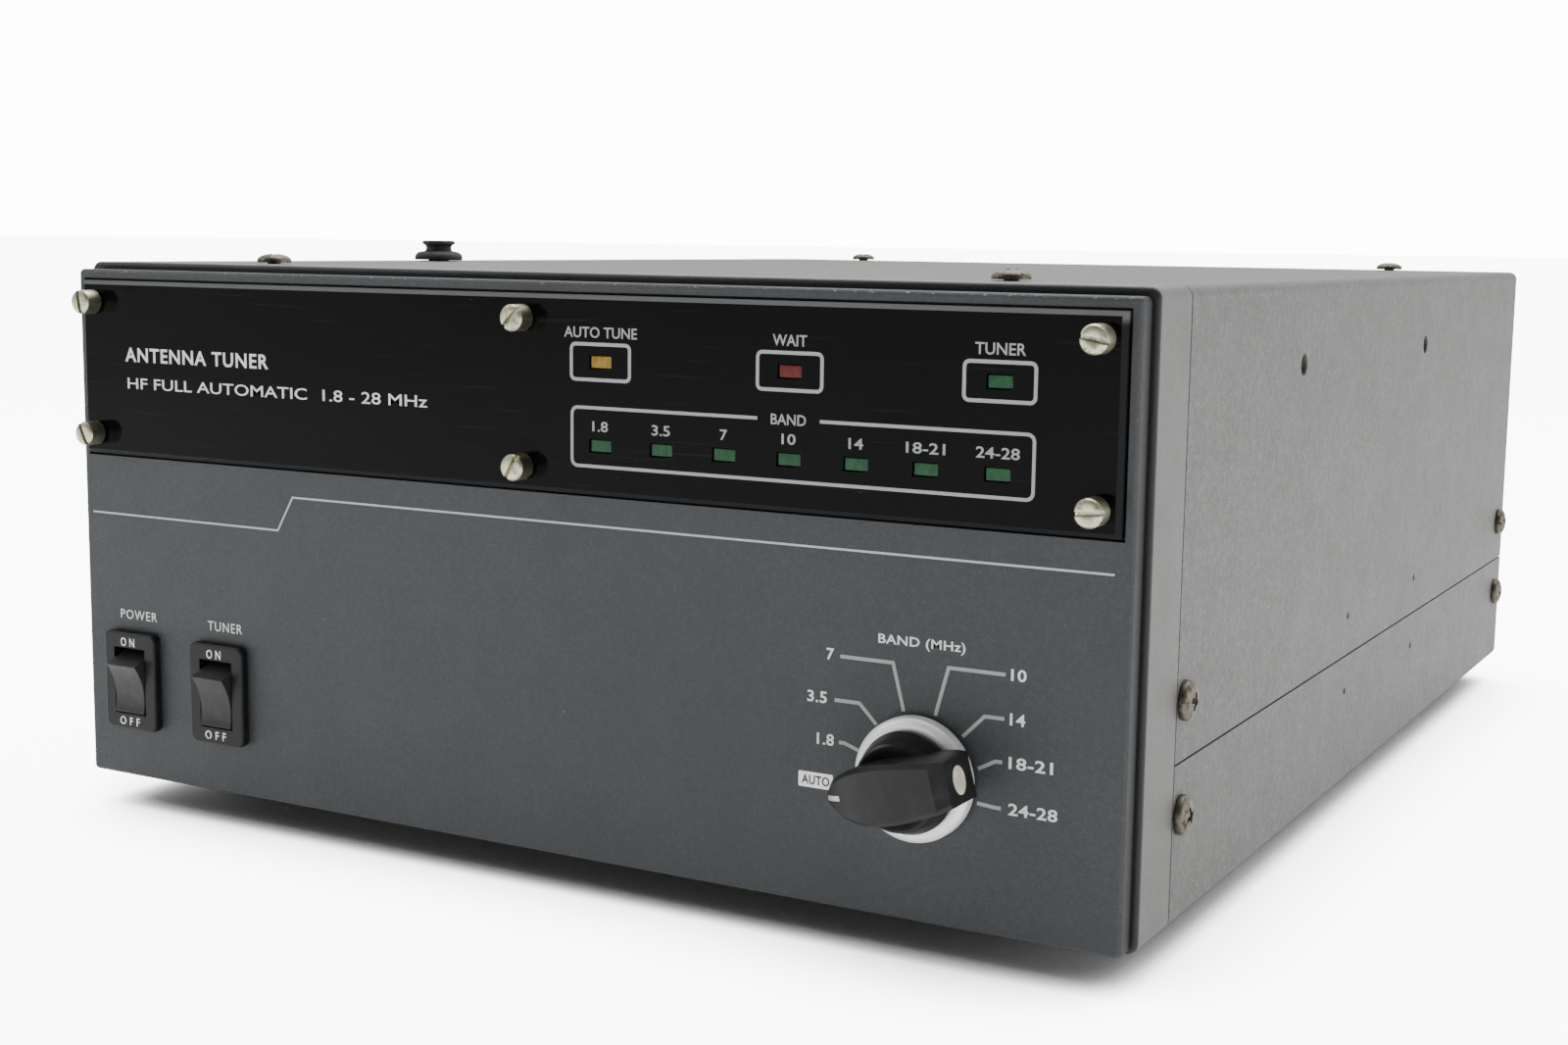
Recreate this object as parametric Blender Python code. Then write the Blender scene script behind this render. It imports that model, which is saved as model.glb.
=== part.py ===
"""Automatic antenna tuner for an HF station, as separate pieces.

Metres, +Z up. The front faces -Y. X is measured from the middle of the case, Z from the
surface that the feet stand on, and Y from the front plate's face. The empty called
"tuner" then moves everything, so that the origin is under the middle of the whole box.
"""
import math

import bmesh
import bpy
from mathutils import Vector

MM = 0.001
X, Y, Z = 0, 1, 2

# Case
CASE_WIDTH = 240.6 * MM
CASE_HEIGHT = 111.5 * MM
CASE_DEPTH = 311.6 * MM
FOOT_HEIGHT = 7.0 * MM
SHEET = 1.2 * MM
CORNER = 2.0 * MM
GAP = 0.3 * MM
SEAM_HEIGHT = 36.2 * MM

# Front plate, with its bezel behind it and its window in a pocket
PLATE_WIDTH = 238.2 * MM
PLATE_BOTTOM = 7.6 * MM
PLATE_TOP = 117.0 * MM
PLATE_THICKNESS = 4.56 * MM
PLATE_EDGE = 1.2 * MM
BEZEL_FRONT = 4.86 * MM
BEZEL_BACK = 20.8 * MM
BEZEL_WALL = 6.0 * MM
WINDOW_WIDTH = 234.0 * MM
WINDOW_BOTTOM = 77.9 * MM
WINDOW_TOP = 114.7 * MM
WINDOW_FRONT = -1.3 * MM
WINDOW_BACK = 0.9 * MM
WINDOW_BEVEL = 0.9 * MM
WINDOW_GROOVE = 0.45 * MM
LENS_WIDTH = 4.8 * MM
LENS_HEIGHT = 2.5 * MM
LENS_PITCH = 13.2 * MM
FIRST_LENS_X = 16.15 * MM
STATUS_ROW = 102.5 * MM
BAND_ROW = 87.1 * MM

# Rocker switches
SWITCH_X = (-105.2 * MM, -80.3 * MM)
SWITCH_Z = 29.1 * MM
SWITCH_WIDTH = 14.8 * MM
SWITCH_HEIGHT = 21.2 * MM
SWITCH_FRONT = -2.0 * MM
SWITCH_BACK = 16.5 * MM
ROCKER_PIVOT = 3.4 * MM
ROCKER_WIDTH = 8.4 * MM
ROCKER_HALF_HEIGHT = 6.9 * MM
ROCKER_CREST = 7.1 * MM
ROCKER_WAIST = 5.9 * MM
WELL_HALF_HEIGHT = 7.2 * MM
WELL_SIDE_GAP = 0.25 * MM
SWITCH_CASE = (6.5 * MM, 9.5 * MM)
PIN_RADIUS = 1.2 * MM
ROCKER_TILT = math.radians(12)

# Band selector
KNOB_X = 81.5 * MM
KNOB_Z = 33.6 * MM
KNOB_REACH = 16.4 * MM
KNOB_REST = math.radians(195)
BAR_CHAMFER = 0.9 * MM
SHAFT_RADIUS = 3.0 * MM
RUNNING_GAP = 0.3 * MM

# Pointer bar: place along the pointer, half width, and reach of its back and its front
BAR_STATIONS = (
    (-12.4 * MM, 3.9 * MM, 4.2 * MM, 14.2 * MM),
    (-10.4 * MM, 4.4 * MM, 4.2 * MM, 16.4 * MM),
    (-2.0 * MM, 5.2 * MM, 4.2 * MM, 16.0 * MM),
    (5.0 * MM, 4.8 * MM, 4.5 * MM, 14.2 * MM),
    (10.5 * MM, 3.0 * MM, 5.6 * MM, 11.2 * MM),
    (13.3 * MM, 1.1 * MM, 6.6 * MM, 9.0 * MM),
)

# Inner frame
SUBPANEL_Y = 21.4 * MM
REAR_PANEL_Y = 307.4 * MM
REAR_PANEL_THICKNESS = 1.6 * MM
REAR_REACH = 22.0 * MM
CHASSIS_WALL_TOP = 58.0 * MM
CHASSIS_BACK = 306.8 * MM

# Screws
SCREW_HEAD = 3.6 * MM
SCREW_HEAD_HEIGHT = 2.2 * MM
SCREW_SHANK = 1.4 * MM
SCREW_HOLE = 1.8 * MM
SIDE_SCREW_Y = (24.6 * MM, 304.0 * MM)
SIDE_SCREW_Z = (47.2 * MM, 26.9 * MM)
TOP_SCREW_X = 86.0 * MM
TOP_SCREW_Y = (24.2 * MM, 303.0 * MM)
BRACKET_HOLE_Y = (91.5 * MM, 198.2 * MM)
BRACKET_HOLE_Z = 102.1 * MM
BRACKET_HOLE = 2.15 * MM
PIN_HOLE_Y = (136.0 * MM, 199.0 * MM)
PIN_HOLE_Z = (45.1 * MM, 28.2 * MM)
PIN_HOLE = 0.8 * MM
PLUG_X = -108.0 * MM
PLUG_Y = 108.0 * MM
WINDOW_SCREW_X = (-113.0 * MM, -1.0 * MM, 113.0 * MM)
WINDOW_SCREW_Z = (110.2 * MM, 82.4 * MM)
WINDOW_SCREW_RADIUS = 2.5 * MM
WINDOW_SCREW_LENGTH = 4.2 * MM
FOOT_X = 100.0 * MM
FOOT_Y = (40.0 * MM, 280.0 * MM)
FOOT_RADIUS = 11.0 * MM
FOOT_BOSS = 2.6 * MM

# Rear connectors, placed by (x, z)
COAX_PLACES = {"input": (95.0 * MM, 42.0 * MM), "antenna": (95.0 * MM, 86.0 * MM)}
GROUND_PLACE = (60.0 * MM, 42.0 * MM)
FUSE_PLACE = (-48.0 * MM, 42.0 * MM)
ACCESSORY_PLACE = (10.0 * MM, 42.0 * MM)
INLET_PLACE = (-88.0 * MM, 42.0 * MM)
COAX_FLANGE = 25.0 * MM
COAX_BOLT = 9.2 * MM
COAX_NECK = 5.5 * MM
POST_RADIUS = 2.5 * MM
FUSE_RADIUS = 6.0 * MM
ACCESSORY_RADIUS = 8.0 * MM
INLET_CASE = (13.9 * MM, 9.9 * MM)
CONNECTOR_SEAT = REAR_PANEL_Y + REAR_PANEL_THICKNESS + GAP
CONNECTOR_INSIDE = REAR_PANEL_Y - 9 * MM

# Variable capacitors and their motor drives
CAPACITOR_X = {"tune": 62.0 * MM, "load": -30.0 * MM}
CAPACITOR_Z = 60.0 * MM
CAPACITOR_FRONT = 110.0 * MM
CAPACITOR_LENGTH = 68.0 * MM
PLATE_PITCH = 11.6 * MM
PLATE_COUNT = 5
ROTOR_RADIUS = 20.0 * MM
VANE = 1.4 * MM
GEAR_TEETH = 36
PINION_TEETH = 12
GEAR_MODULE = 1.0 * MM
GEAR_FRONT = 103.0 * MM
GEAR_WIDTH = 4.0 * MM
GEAR_CENTRES = (GEAR_TEETH + PINION_TEETH) * GEAR_MODULE / 2 + 0.15 * MM
MOTOR_RADIUS = 12.0 * MM

# Tank coil
COIL_PLACE = (62.0 * MM, 60.0 * MM)
COIL_START = 205.0 * MM
COIL_TURNS = 7
COIL_PITCH = 9.0 * MM

BASE = FOOT_HEIGHT
TOP = FOOT_HEIGHT + CASE_HEIGHT
HALF = CASE_WIDTH / 2
FLOOR = BASE + 2 * SHEET + 0.4 * MM
FRONT_Y = KNOB_REACH - (KNOB_REACH + CASE_DEPTH + REAR_REACH) / 2

# Colour, roughness and metallic value of each finish
FINISHES = {
    "charcoal_paint": ((0.075, 0.085, 0.092), 0.55, 0.0),
    "case_paint": ((0.16, 0.16, 0.155), 0.6, 0.0),
    "black_gloss": ((0.008, 0.008, 0.009), 0.12, 0.0),
    "black_plastic": ((0.018, 0.018, 0.018), 0.4, 0.0),
    "spun_aluminium": ((0.78, 0.78, 0.79), 0.3, 1.0),
    "aged_nickel": ((0.42, 0.39, 0.30), 0.4, 1.0),
    "steel": ((0.55, 0.55, 0.53), 0.35, 1.0),
    "brass": ((0.62, 0.48, 0.22), 0.35, 1.0),
    "rubber": ((0.02, 0.02, 0.02), 0.85, 0.0),
    "circuit_board": ((0.03, 0.16, 0.06), 0.5, 0.0),
    "lens": ((0.02, 0.16, 0.05), 0.2, 0.0),
    "ceramic": ((0.75, 0.73, 0.66), 0.5, 0.0),
}


def clear_scene():
    for old in list(bpy.data.objects):
        bpy.data.objects.remove(old, do_unlink=True)


def finish(name):
    """The material of a finish, made once."""
    if name in bpy.data.materials:
        return bpy.data.materials[name]
    colour, roughness, metallic = FINISHES[name]
    material = bpy.data.materials.new(name)
    material.use_nodes = True
    shader = material.node_tree.nodes["Principled BSDF"]
    shader.inputs["Base Color"].default_value = (*colour, 1)
    shader.inputs["Roughness"].default_value = roughness
    shader.inputs["Metallic"].default_value = metallic
    return material


# Outlines, as lists of two coordinates

def circle(radius, sides, centre=(0, 0), start=0.0):
    turn = 2 * math.pi / sides
    return [(centre[0] + radius * math.cos(start + i * turn),
             centre[1] + radius * math.sin(start + i * turn)) for i in range(sides)]


def rectangle(low, high, corner=0.0, steps=3):
    """A rectangle from its low to its high corner, with rounded corners if asked."""
    if not corner:
        return [low, (high[0], low[1]), high, (low[0], high[1])]
    points = []
    for index, (cx, cy) in enumerate([low, (high[0], low[1]), high, (low[0], high[1])]):
        inward = (1 if cx == low[0] else -1, 1 if cy == low[1] else -1)
        centre = (cx + inward[0] * corner, cy + inward[1] * corner)
        for step in range(steps + 1):
            angle = math.pi + (index + step / steps) * math.pi / 2
            points.append((centre[0] + corner * math.cos(angle), centre[1] + corner * math.sin(angle)))
    return points


def folded_sheet(half_width, base, tip, corner, thickness, steps=3):
    """A U folded from sheet: flat at height base, with its sides ending at height tip."""
    up = 1 if tip > base else -1
    points = []
    for inset, order in ((0.0, 1), (thickness, -1)):
        radius = max(corner - inset, 0.2 * MM)
        side = half_width - inset
        level = base + up * inset
        line = [(-side, tip)]
        for sign in (-1, 1):
            for step in range(steps + 1):
                angle = math.pi / 2 * step / steps
                across, rise = math.cos(angle), math.sin(angle)
                if sign > 0:
                    across, rise = rise, across
                line.append((sign * (side - radius + radius * across), level + up * radius * (1 - rise)))
        line.append((side, tip))
        points += line[::order]
    return points


def gear_outline(teeth, module, phase, centre):
    """Straight-flanked teeth, thinner than half a pitch so that the pair runs with backlash."""
    pitch_radius = teeth * module / 2
    tip, root = pitch_radius + 0.85 * module, pitch_radius - 1.25 * module
    pitch = 2 * math.pi / teeth
    wide, narrow = 0.60 * pitch / 2, 0.20 * pitch / 2
    points = []
    for tooth in range(teeth):
        middle = phase + tooth * pitch
        for radius, offset in ((root, -wide), (tip, -narrow), (tip, narrow), (root, wide)):
            points.append((centre[0] + radius * math.cos(middle + offset),
                           centre[1] + radius * math.sin(middle + offset)))
    return points


# Solids, as one bmesh each

def prism(outline, axis, start, end):
    """A face with this outline, square to the axis, extruded from start to end."""
    shape = bmesh.new()
    across = [other for other in (X, Y, Z) if other != axis]
    corners = []
    for first, second in outline:
        place = Vector((0, 0, 0))
        place[axis] = start
        place[across[0]] = first
        place[across[1]] = second
        corners.append(shape.verts.new(place))
    grown = bmesh.ops.extrude_face_region(shape, geom=[shape.faces.new(corners)])
    travel = Vector((0, 0, 0))
    travel[axis] = end - start
    moved = [item for item in grown["geom"] if isinstance(item, bmesh.types.BMVert)]
    bmesh.ops.translate(shape, verts=moved, vec=travel)
    bmesh.ops.recalc_face_normals(shape, faces=shape.faces)
    return shape


def box(low, high):
    return prism(rectangle((low[0], low[2]), (high[0], high[2])), Y, low[1], high[1])


def rod(axis, centre, radius, start, end, sides=16):
    """A round rod along an axis; centre gives its place across the axis."""
    return prism(circle(radius, sides, centre), axis, start, end)


def turned(profile, axis, centre, sides=24, ring=False):
    """A profile of (radius, place along the axis) points, spun round the axis."""
    shape = bmesh.new()
    across = [other for other in (X, Y, Z) if other != axis]
    middle = Vector((0, 0, 0))
    middle[across[0]], middle[across[1]] = centre
    line = []
    for radius, along in profile:
        place = middle.copy()
        place[axis] = along
        place[across[0]] += radius
        line.append(shape.verts.new(place))
    edges = [shape.edges.new(pair) for pair in zip(line, line[1:])]
    if ring:
        edges.append(shape.edges.new((line[-1], line[0])))
    direction = Vector((0, 0, 0))
    direction[axis] = 1
    bmesh.ops.spin(shape, geom=line + edges, cent=middle, axis=direction,
                   angle=2 * math.pi, steps=sides, use_merge=True)
    bmesh.ops.remove_doubles(shape, verts=shape.verts, dist=0.001 * MM)
    bmesh.ops.recalc_face_normals(shape, faces=shape.faces)
    return shape


def loft(sections):
    """Rings of equally many points, joined in turn and closed at both ends."""
    shape = bmesh.new()
    rings = [[shape.verts.new(point) for point in section] for section in sections]
    for near, far in zip(rings, rings[1:]):
        for index in range(len(near)):
            following = (index + 1) % len(near)
            shape.faces.new((near[index], near[following], far[following], far[index]))
    shape.faces.new(rings[0])
    shape.faces.new(rings[-1])
    bmesh.ops.recalc_face_normals(shape, faces=shape.faces)
    return shape


def bevel_edges(shape, width, steps, chosen):
    """Rounds the edges whose two ends both pass the chosen test."""
    edges = [edge for edge in shape.edges if all(chosen(vert.co) for vert in edge.verts)]
    bmesh.ops.bevel(shape, geom=edges, offset=width, segments=steps, profile=0.5, affect="EDGES")
    return shape


# Objects

def helper(owner, label, shapes):
    """A hidden tool that holds several closed shapes and moves with its owner."""
    mesh = bpy.data.meshes.new(owner.name + label)
    whole = bmesh.new()
    for shape in shapes:
        part = bpy.data.meshes.new("part")
        shape.to_mesh(part)
        shape.free()
        whole.from_mesh(part)
        bpy.data.meshes.remove(part)
    whole.to_mesh(mesh)
    whole.free()
    tool = bpy.data.objects.new(owner.name + label, mesh)
    bpy.context.collection.objects.link(tool)
    tool.parent = owner
    tool.hide_render = True
    tool.display_type = "WIRE"
    return tool


def body(name, finish_name, shapes, cuts=(), location=(0, 0, 0), rotation=(0, 0, 0)):
    """One named piece: its shapes joined, less its cuts."""
    mesh = bpy.data.meshes.new(name)
    shapes[0].to_mesh(mesh)
    shapes[0].free()
    piece = bpy.data.objects.new(name, mesh)
    bpy.context.collection.objects.link(piece)
    piece.data.materials.append(finish(finish_name))
    mesh.shade_smooth()
    mesh.set_sharp_from_angle(angle=math.radians(35))
    piece.location = location
    piece.rotation_euler = rotation
    piece.parent = bpy.data.objects["tuner"]
    for label, operation, group in (("_added", "UNION", shapes[1:]), ("_cut", "DIFFERENCE", cuts)):
        if group:
            modifier = piece.modifiers.new(operation.title(), "BOOLEAN")
            modifier.operation = operation
            modifier.solver = "EXACT"
            modifier.use_self = True
            modifier.object = helper(piece, label, group)
    return piece


# Front

def lens_places():
    return [FIRST_LENS_X + index * LENS_PITCH for index in range(7)]


def window_screw_places():
    return [(x, z) for z in WINDOW_SCREW_Z for x in WINDOW_SCREW_X]


def lens_openings(start, end, margin):
    """Boxes through the window or the plate, one for each indicator."""
    half_width, half_height = LENS_WIDTH / 2 + margin, LENS_HEIGHT / 2 + margin
    rows = [(x, STATUS_ROW) for x in lens_places()[::3]] + [(x, BAND_ROW) for x in lens_places()]
    return [box((x - half_width, start, z - half_height), (x + half_width, end, z + half_height))
            for x, z in rows]


def make_front_plate():
    plate = box((-PLATE_WIDTH / 2, 0, PLATE_BOTTOM), (PLATE_WIDTH / 2, PLATE_THICKNESS, PLATE_TOP))
    bevel_edges(plate, PLATE_EDGE, 3, lambda place: place.y < 0.1 * MM)
    through = PLATE_THICKNESS + 1 * MM
    groove = WINDOW_GROOVE
    cuts = [box((-WINDOW_WIDTH / 2 - groove, -1 * MM, WINDOW_BOTTOM - groove),
                (WINDOW_WIDTH / 2 + groove, WINDOW_BACK + GAP, WINDOW_TOP + groove))]
    cuts += lens_openings(WINDOW_BACK, through, 0.4 * MM)
    cuts += [rod(Y, place, SCREW_SHANK + GAP + 0.1 * MM, 0, through, 8) for place in window_screw_places()]
    across, up = SWITCH_CASE[0] + 0.4 * MM, SWITCH_CASE[1] + 0.4 * MM
    for x in SWITCH_X:
        cuts.append(box((x - across, -1 * MM, SWITCH_Z - up), (x + across, through, SWITCH_Z + up)))
    cuts.append(rod(Y, (KNOB_X, KNOB_Z), SHAFT_RADIUS + 0.6 * MM, -1 * MM, through, 20))
    body("front_plate", "charcoal_paint", [plate], cuts)


def make_front_bezel():
    outside = prism(rectangle((-HALF, BASE), (HALF, TOP), CORNER), Y, BEZEL_FRONT, BEZEL_BACK)
    wall = BEZEL_WALL
    opening = box((-HALF + wall, BEZEL_FRONT - 1 * MM, BASE + wall),
                  (HALF - wall, BEZEL_BACK + 1 * MM, TOP - wall))
    body("front_bezel", "charcoal_paint", [outside], [opening])


def make_window():
    half = WINDOW_WIDTH / 2
    pane = box((-half, WINDOW_FRONT, WINDOW_BOTTOM), (half, WINDOW_BACK, WINDOW_TOP))
    bevel_edges(pane, WINDOW_BEVEL, 1, lambda place: place.y < WINDOW_FRONT + 0.1 * MM)
    start, end = WINDOW_FRONT - 1 * MM, WINDOW_BACK + 1 * MM
    cuts = lens_openings(start, end, 0)
    cuts += [rod(Y, place, SCREW_SHANK + GAP + 0.1 * MM, start, end, 8) for place in window_screw_places()]
    body("window_panel", "black_gloss", [pane], cuts)
    seat = WINDOW_FRONT - GAP
    face = seat - WINDOW_SCREW_LENGTH
    tip = PLATE_THICKNESS - 0.16 * MM
    radius = WINDOW_SCREW_RADIUS
    profile = [(0, face), (radius, face), (radius, seat), (SCREW_SHANK, seat), (SCREW_SHANK, tip), (0, tip)]
    for number, (x, z) in enumerate(window_screw_places(), 1):
        screw = turned(profile, Y, (0, 0), 14)
        slot = box((-3 * MM, face - 1 * MM, -0.4 * MM), (3 * MM, face + 1.1 * MM, 0.4 * MM))
        body(f"window_screw_{number}", "aged_nickel", [screw], [slot],
             location=(x, 0, z), rotation=(0, math.radians(25 + 55 * number), 0))


def make_indicators():
    """Two light blocks: a bar behind the plate with one lens for each indicator."""
    bar_front, bar_back = PLATE_THICKNESS + GAP, 9.7 * MM
    for name, row, places in (("status_light_block", STATUS_ROW, lens_places()[::3]),
                              ("band_light_block", BAND_ROW, lens_places())):
        half_width, half_height = LENS_WIDTH / 2 - GAP, LENS_HEIGHT / 2 - GAP
        bar = box((places[0] - 5 * MM, bar_front, row - 3 * MM),
                  (places[-1] + 5 * MM, bar_back, row + 3 * MM))
        lenses = [box((x - half_width, WINDOW_FRONT + 0.4 * MM, row - half_height),
                      (x + half_width, bar_front + 1 * MM, row + half_height)) for x in places]
        body(name, "lens", [bar] + lenses)
    board = box((-100 * MM, 10 * MM, 80 * MM), (108 * MM, 11.6 * MM, 110.5 * MM))
    chips = [box((x, 11 * MM, 90 * MM), (x + 8 * MM, 14.5 * MM, 104 * MM))
             for x in (-80 * MM, -50 * MM, -20 * MM)]
    body("display_board", "circuit_board", [board] + chips)


def rocker_outline():
    """Side view about the pivot, as (depth, height); both ends clear the opening at each tilt."""
    lean = math.tan(ROCKER_TILT)
    tallest = ROCKER_HALF_HEIGHT / math.cos(ROCKER_TILT)
    crest_half = tallest - ROCKER_CREST * lean
    shoulder = 2.0 * MM
    upper = [(1.0 * MM, 4.9 * MM), (-shoulder, tallest - shoulder * lean - GAP),
             (-ROCKER_CREST, crest_half)]
    sag = ROCKER_CREST - ROCKER_WAIST
    hollow = [(-ROCKER_CREST + sag * (1 - step * step), crest_half * step) for step in (0.5, 0, -0.5)]
    lower = [(depth, -height) for depth, height in reversed(upper)]
    back = [(3.2 * MM, -3.0 * MM), (3.2 * MM, 3.0 * MM)]
    return upper + hollow + lower + back


def make_switch(name, x):
    """Rocker switch: a housing clipped into the plate and its rocker, resting with the foot pressed."""
    low = (-SWITCH_WIDTH / 2, -SWITCH_HEIGHT / 2)
    high = (SWITCH_WIDTH / 2, SWITCH_HEIGHT / 2)
    flange = prism(rectangle(low, high, 1.6 * MM), Y, SWITCH_FRONT, -GAP)
    bevel_edges(flange, 0.5 * MM, 2, lambda place: place.y < SWITCH_FRONT + 0.1 * MM)
    across, up = SWITCH_CASE
    case = box((-across, -1 * MM, -up), (across, SWITCH_BACK, up))
    blades = [box((-3.1 * MM, SWITCH_BACK - 1 * MM, z - 0.4 * MM),
                  (3.1 * MM, SWITCH_BACK + 4 * MM, z + 0.4 * MM)) for z in (-6 * MM, 0, 6 * MM)]
    half_width = ROCKER_WIDTH / 2 + WELL_SIDE_GAP
    well = box((-half_width, SWITCH_FRONT - 1 * MM, -WELL_HALF_HEIGHT),
               (half_width, ROCKER_PIVOT + 8 * MM, WELL_HALF_HEIGHT))
    pin_reach = half_width + 0.9 * MM
    sockets = rod(X, (ROCKER_PIVOT, 0), PIN_RADIUS + GAP, -pin_reach - GAP, pin_reach + GAP, 12)
    body(f"{name}_switch_body", "black_plastic", [flange, case] + blades, [well, sockets],
         location=(x, 0, SWITCH_Z))
    paddle = prism(rocker_outline(), X, -ROCKER_WIDTH / 2, ROCKER_WIDTH / 2)
    pins = rod(X, (0, 0), PIN_RADIUS, -pin_reach, pin_reach, 12)
    body(f"{name}_rocker", "black_plastic", [paddle, pins],
         location=(x, ROCKER_PIVOT, SWITCH_Z), rotation=(ROCKER_TILT, 0, 0))


def bar_section(along, half, back, front):
    """Section of the pointer bar, with its two front edges chamfered."""
    corners = ((back, -half), (back, half), (front - BAR_CHAMFER, half), (front, half - BAR_CHAMFER),
               (front, BAR_CHAMFER - half), (front - BAR_CHAMFER, -half))
    return [(along, -reach, across) for reach, across in corners]


def make_knob():
    """Pointer knob on its skirt; in its own axes the pointer lies along +X."""
    place, turn = (KNOB_X, 0, KNOB_Z), (0, -KNOB_REST, 0)
    bore = rod(Y, (0, 0), SHAFT_RADIUS + GAP, -12.3 * MM, 1 * MM, 14)
    skirt = turned([(5.0 * MM, -0.6 * MM), (11.0 * MM, -0.6 * MM), (11.0 * MM, -2.6 * MM),
                    (10.2 * MM, -3.6 * MM), (5.0 * MM, -3.6 * MM)], Y, (0, 0), 30, ring=True)
    body("knob_skirt", "spun_aluminium", [skirt], location=place, rotation=turn)
    hub = turned([(0, -3.9 * MM), (9.0 * MM, -3.9 * MM), (9.0 * MM, -5.0 * MM),
                  (7.6 * MM, -9.5 * MM), (0, -9.5 * MM)], Y, (0, 0), 22)
    stem = rod(Y, (0, 0), 4.6 * MM, -4.5 * MM, -0.8 * MM, 14)
    bar = loft([bar_section(*station) for station in BAR_STATIONS])
    body("band_knob", "black_plastic", [hub, stem, bar], [bore], location=place, rotation=turn)
    shaft = rod(Y, (0, 0), SHAFT_RADIUS, -12.0 * MM, 34 * MM, 14)
    flat = box((-4 * MM, -13 * MM, 2.2 * MM), (4 * MM, -1 * MM, 4 * MM))
    body("selector_shaft", "steel", [shaft], [flat], location=place, rotation=turn)
    bushing = rod(Y, (0, 0), 4.6 * MM, 14 * MM, 25 * MM, 20)
    nut = prism(circle(7.0 * MM, 6), Y, 17 * MM, 19.6 * MM)
    wafer = rod(Y, (0, 0), 14 * MM, SUBPANEL_Y + SHEET + GAP, 44 * MM, 24)
    socket = rod(Y, (0, 0), SHAFT_RADIUS + RUNNING_GAP, 13 * MM, 34.4 * MM, 20)
    body("selector_switch", "black_plastic", [wafer, bushing, nut], [socket],
         location=(KNOB_X, 0, KNOB_Z))


# Case and inner frame

def side_screw_places():
    return [(side, y, z) for side in (-1, 1) for y in SIDE_SCREW_Y for z in SIDE_SCREW_Z]


def side_holes(half_width, rows):
    """Clearance holes for the side screws at the given heights, through both walls."""
    return [rod(X, (y, z), SCREW_HOLE, side * (half_width - 6 * MM), side * (half_width + 2 * MM), 8)
            for side, y, z in side_screw_places() if z in rows]


def make_covers():
    start = BEZEL_BACK + GAP
    top = prism(folded_sheet(HALF, TOP, SEAM_HEIGHT + GAP / 2, CORNER, SHEET), Y, start, CASE_DEPTH)
    cuts = side_holes(HALF, SIDE_SCREW_Z[:1])
    for x, y in top_screw_places():
        cuts.append(rod(Z, (x, y), SCREW_HOLE, TOP - 3 * MM, TOP + 2 * MM, 8))
    cuts.append(rod(Z, (PLUG_X, PLUG_Y), 3.0 * MM, TOP - 3 * MM, TOP + 2 * MM, 16))
    for side in (-1, 1):
        near, far = side * (HALF - 3 * MM), side * (HALF + 2 * MM)
        cuts += [rod(X, (y, BRACKET_HOLE_Z), BRACKET_HOLE, near, far, 12) for y in BRACKET_HOLE_Y]
        cuts += [rod(X, (y, PIN_HOLE_Z[0]), PIN_HOLE, near, far, 6) for y in PIN_HOLE_Y]
    body("top_cover", "case_paint", [top], cuts)
    bottom = prism(folded_sheet(HALF, BASE, SEAM_HEIGHT - GAP / 2, CORNER, SHEET), Y, start, CASE_DEPTH)
    cuts = side_holes(HALF, SIDE_SCREW_Z[1:])
    cuts += [rod(Z, place, FOOT_BOSS + GAP + 0.1 * MM, BASE - 2 * MM, BASE + 3 * MM, 12)
             for place in foot_places()]
    for side in (-1, 1):
        near, far = side * (HALF - 3 * MM), side * (HALF + 2 * MM)
        cuts += [rod(X, (y, PIN_HOLE_Z[1]), PIN_HOLE, near, far, 6) for y in PIN_HOLE_Y]
    body("bottom_cover", "case_paint", [bottom], cuts)


def top_screw_places():
    return [(side * TOP_SCREW_X, y) for y in TOP_SCREW_Y for side in (-1, 1)]


def foot_places():
    return [(side * FOOT_X, y) for y in FOOT_Y for side in (-1, 1)]


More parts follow.
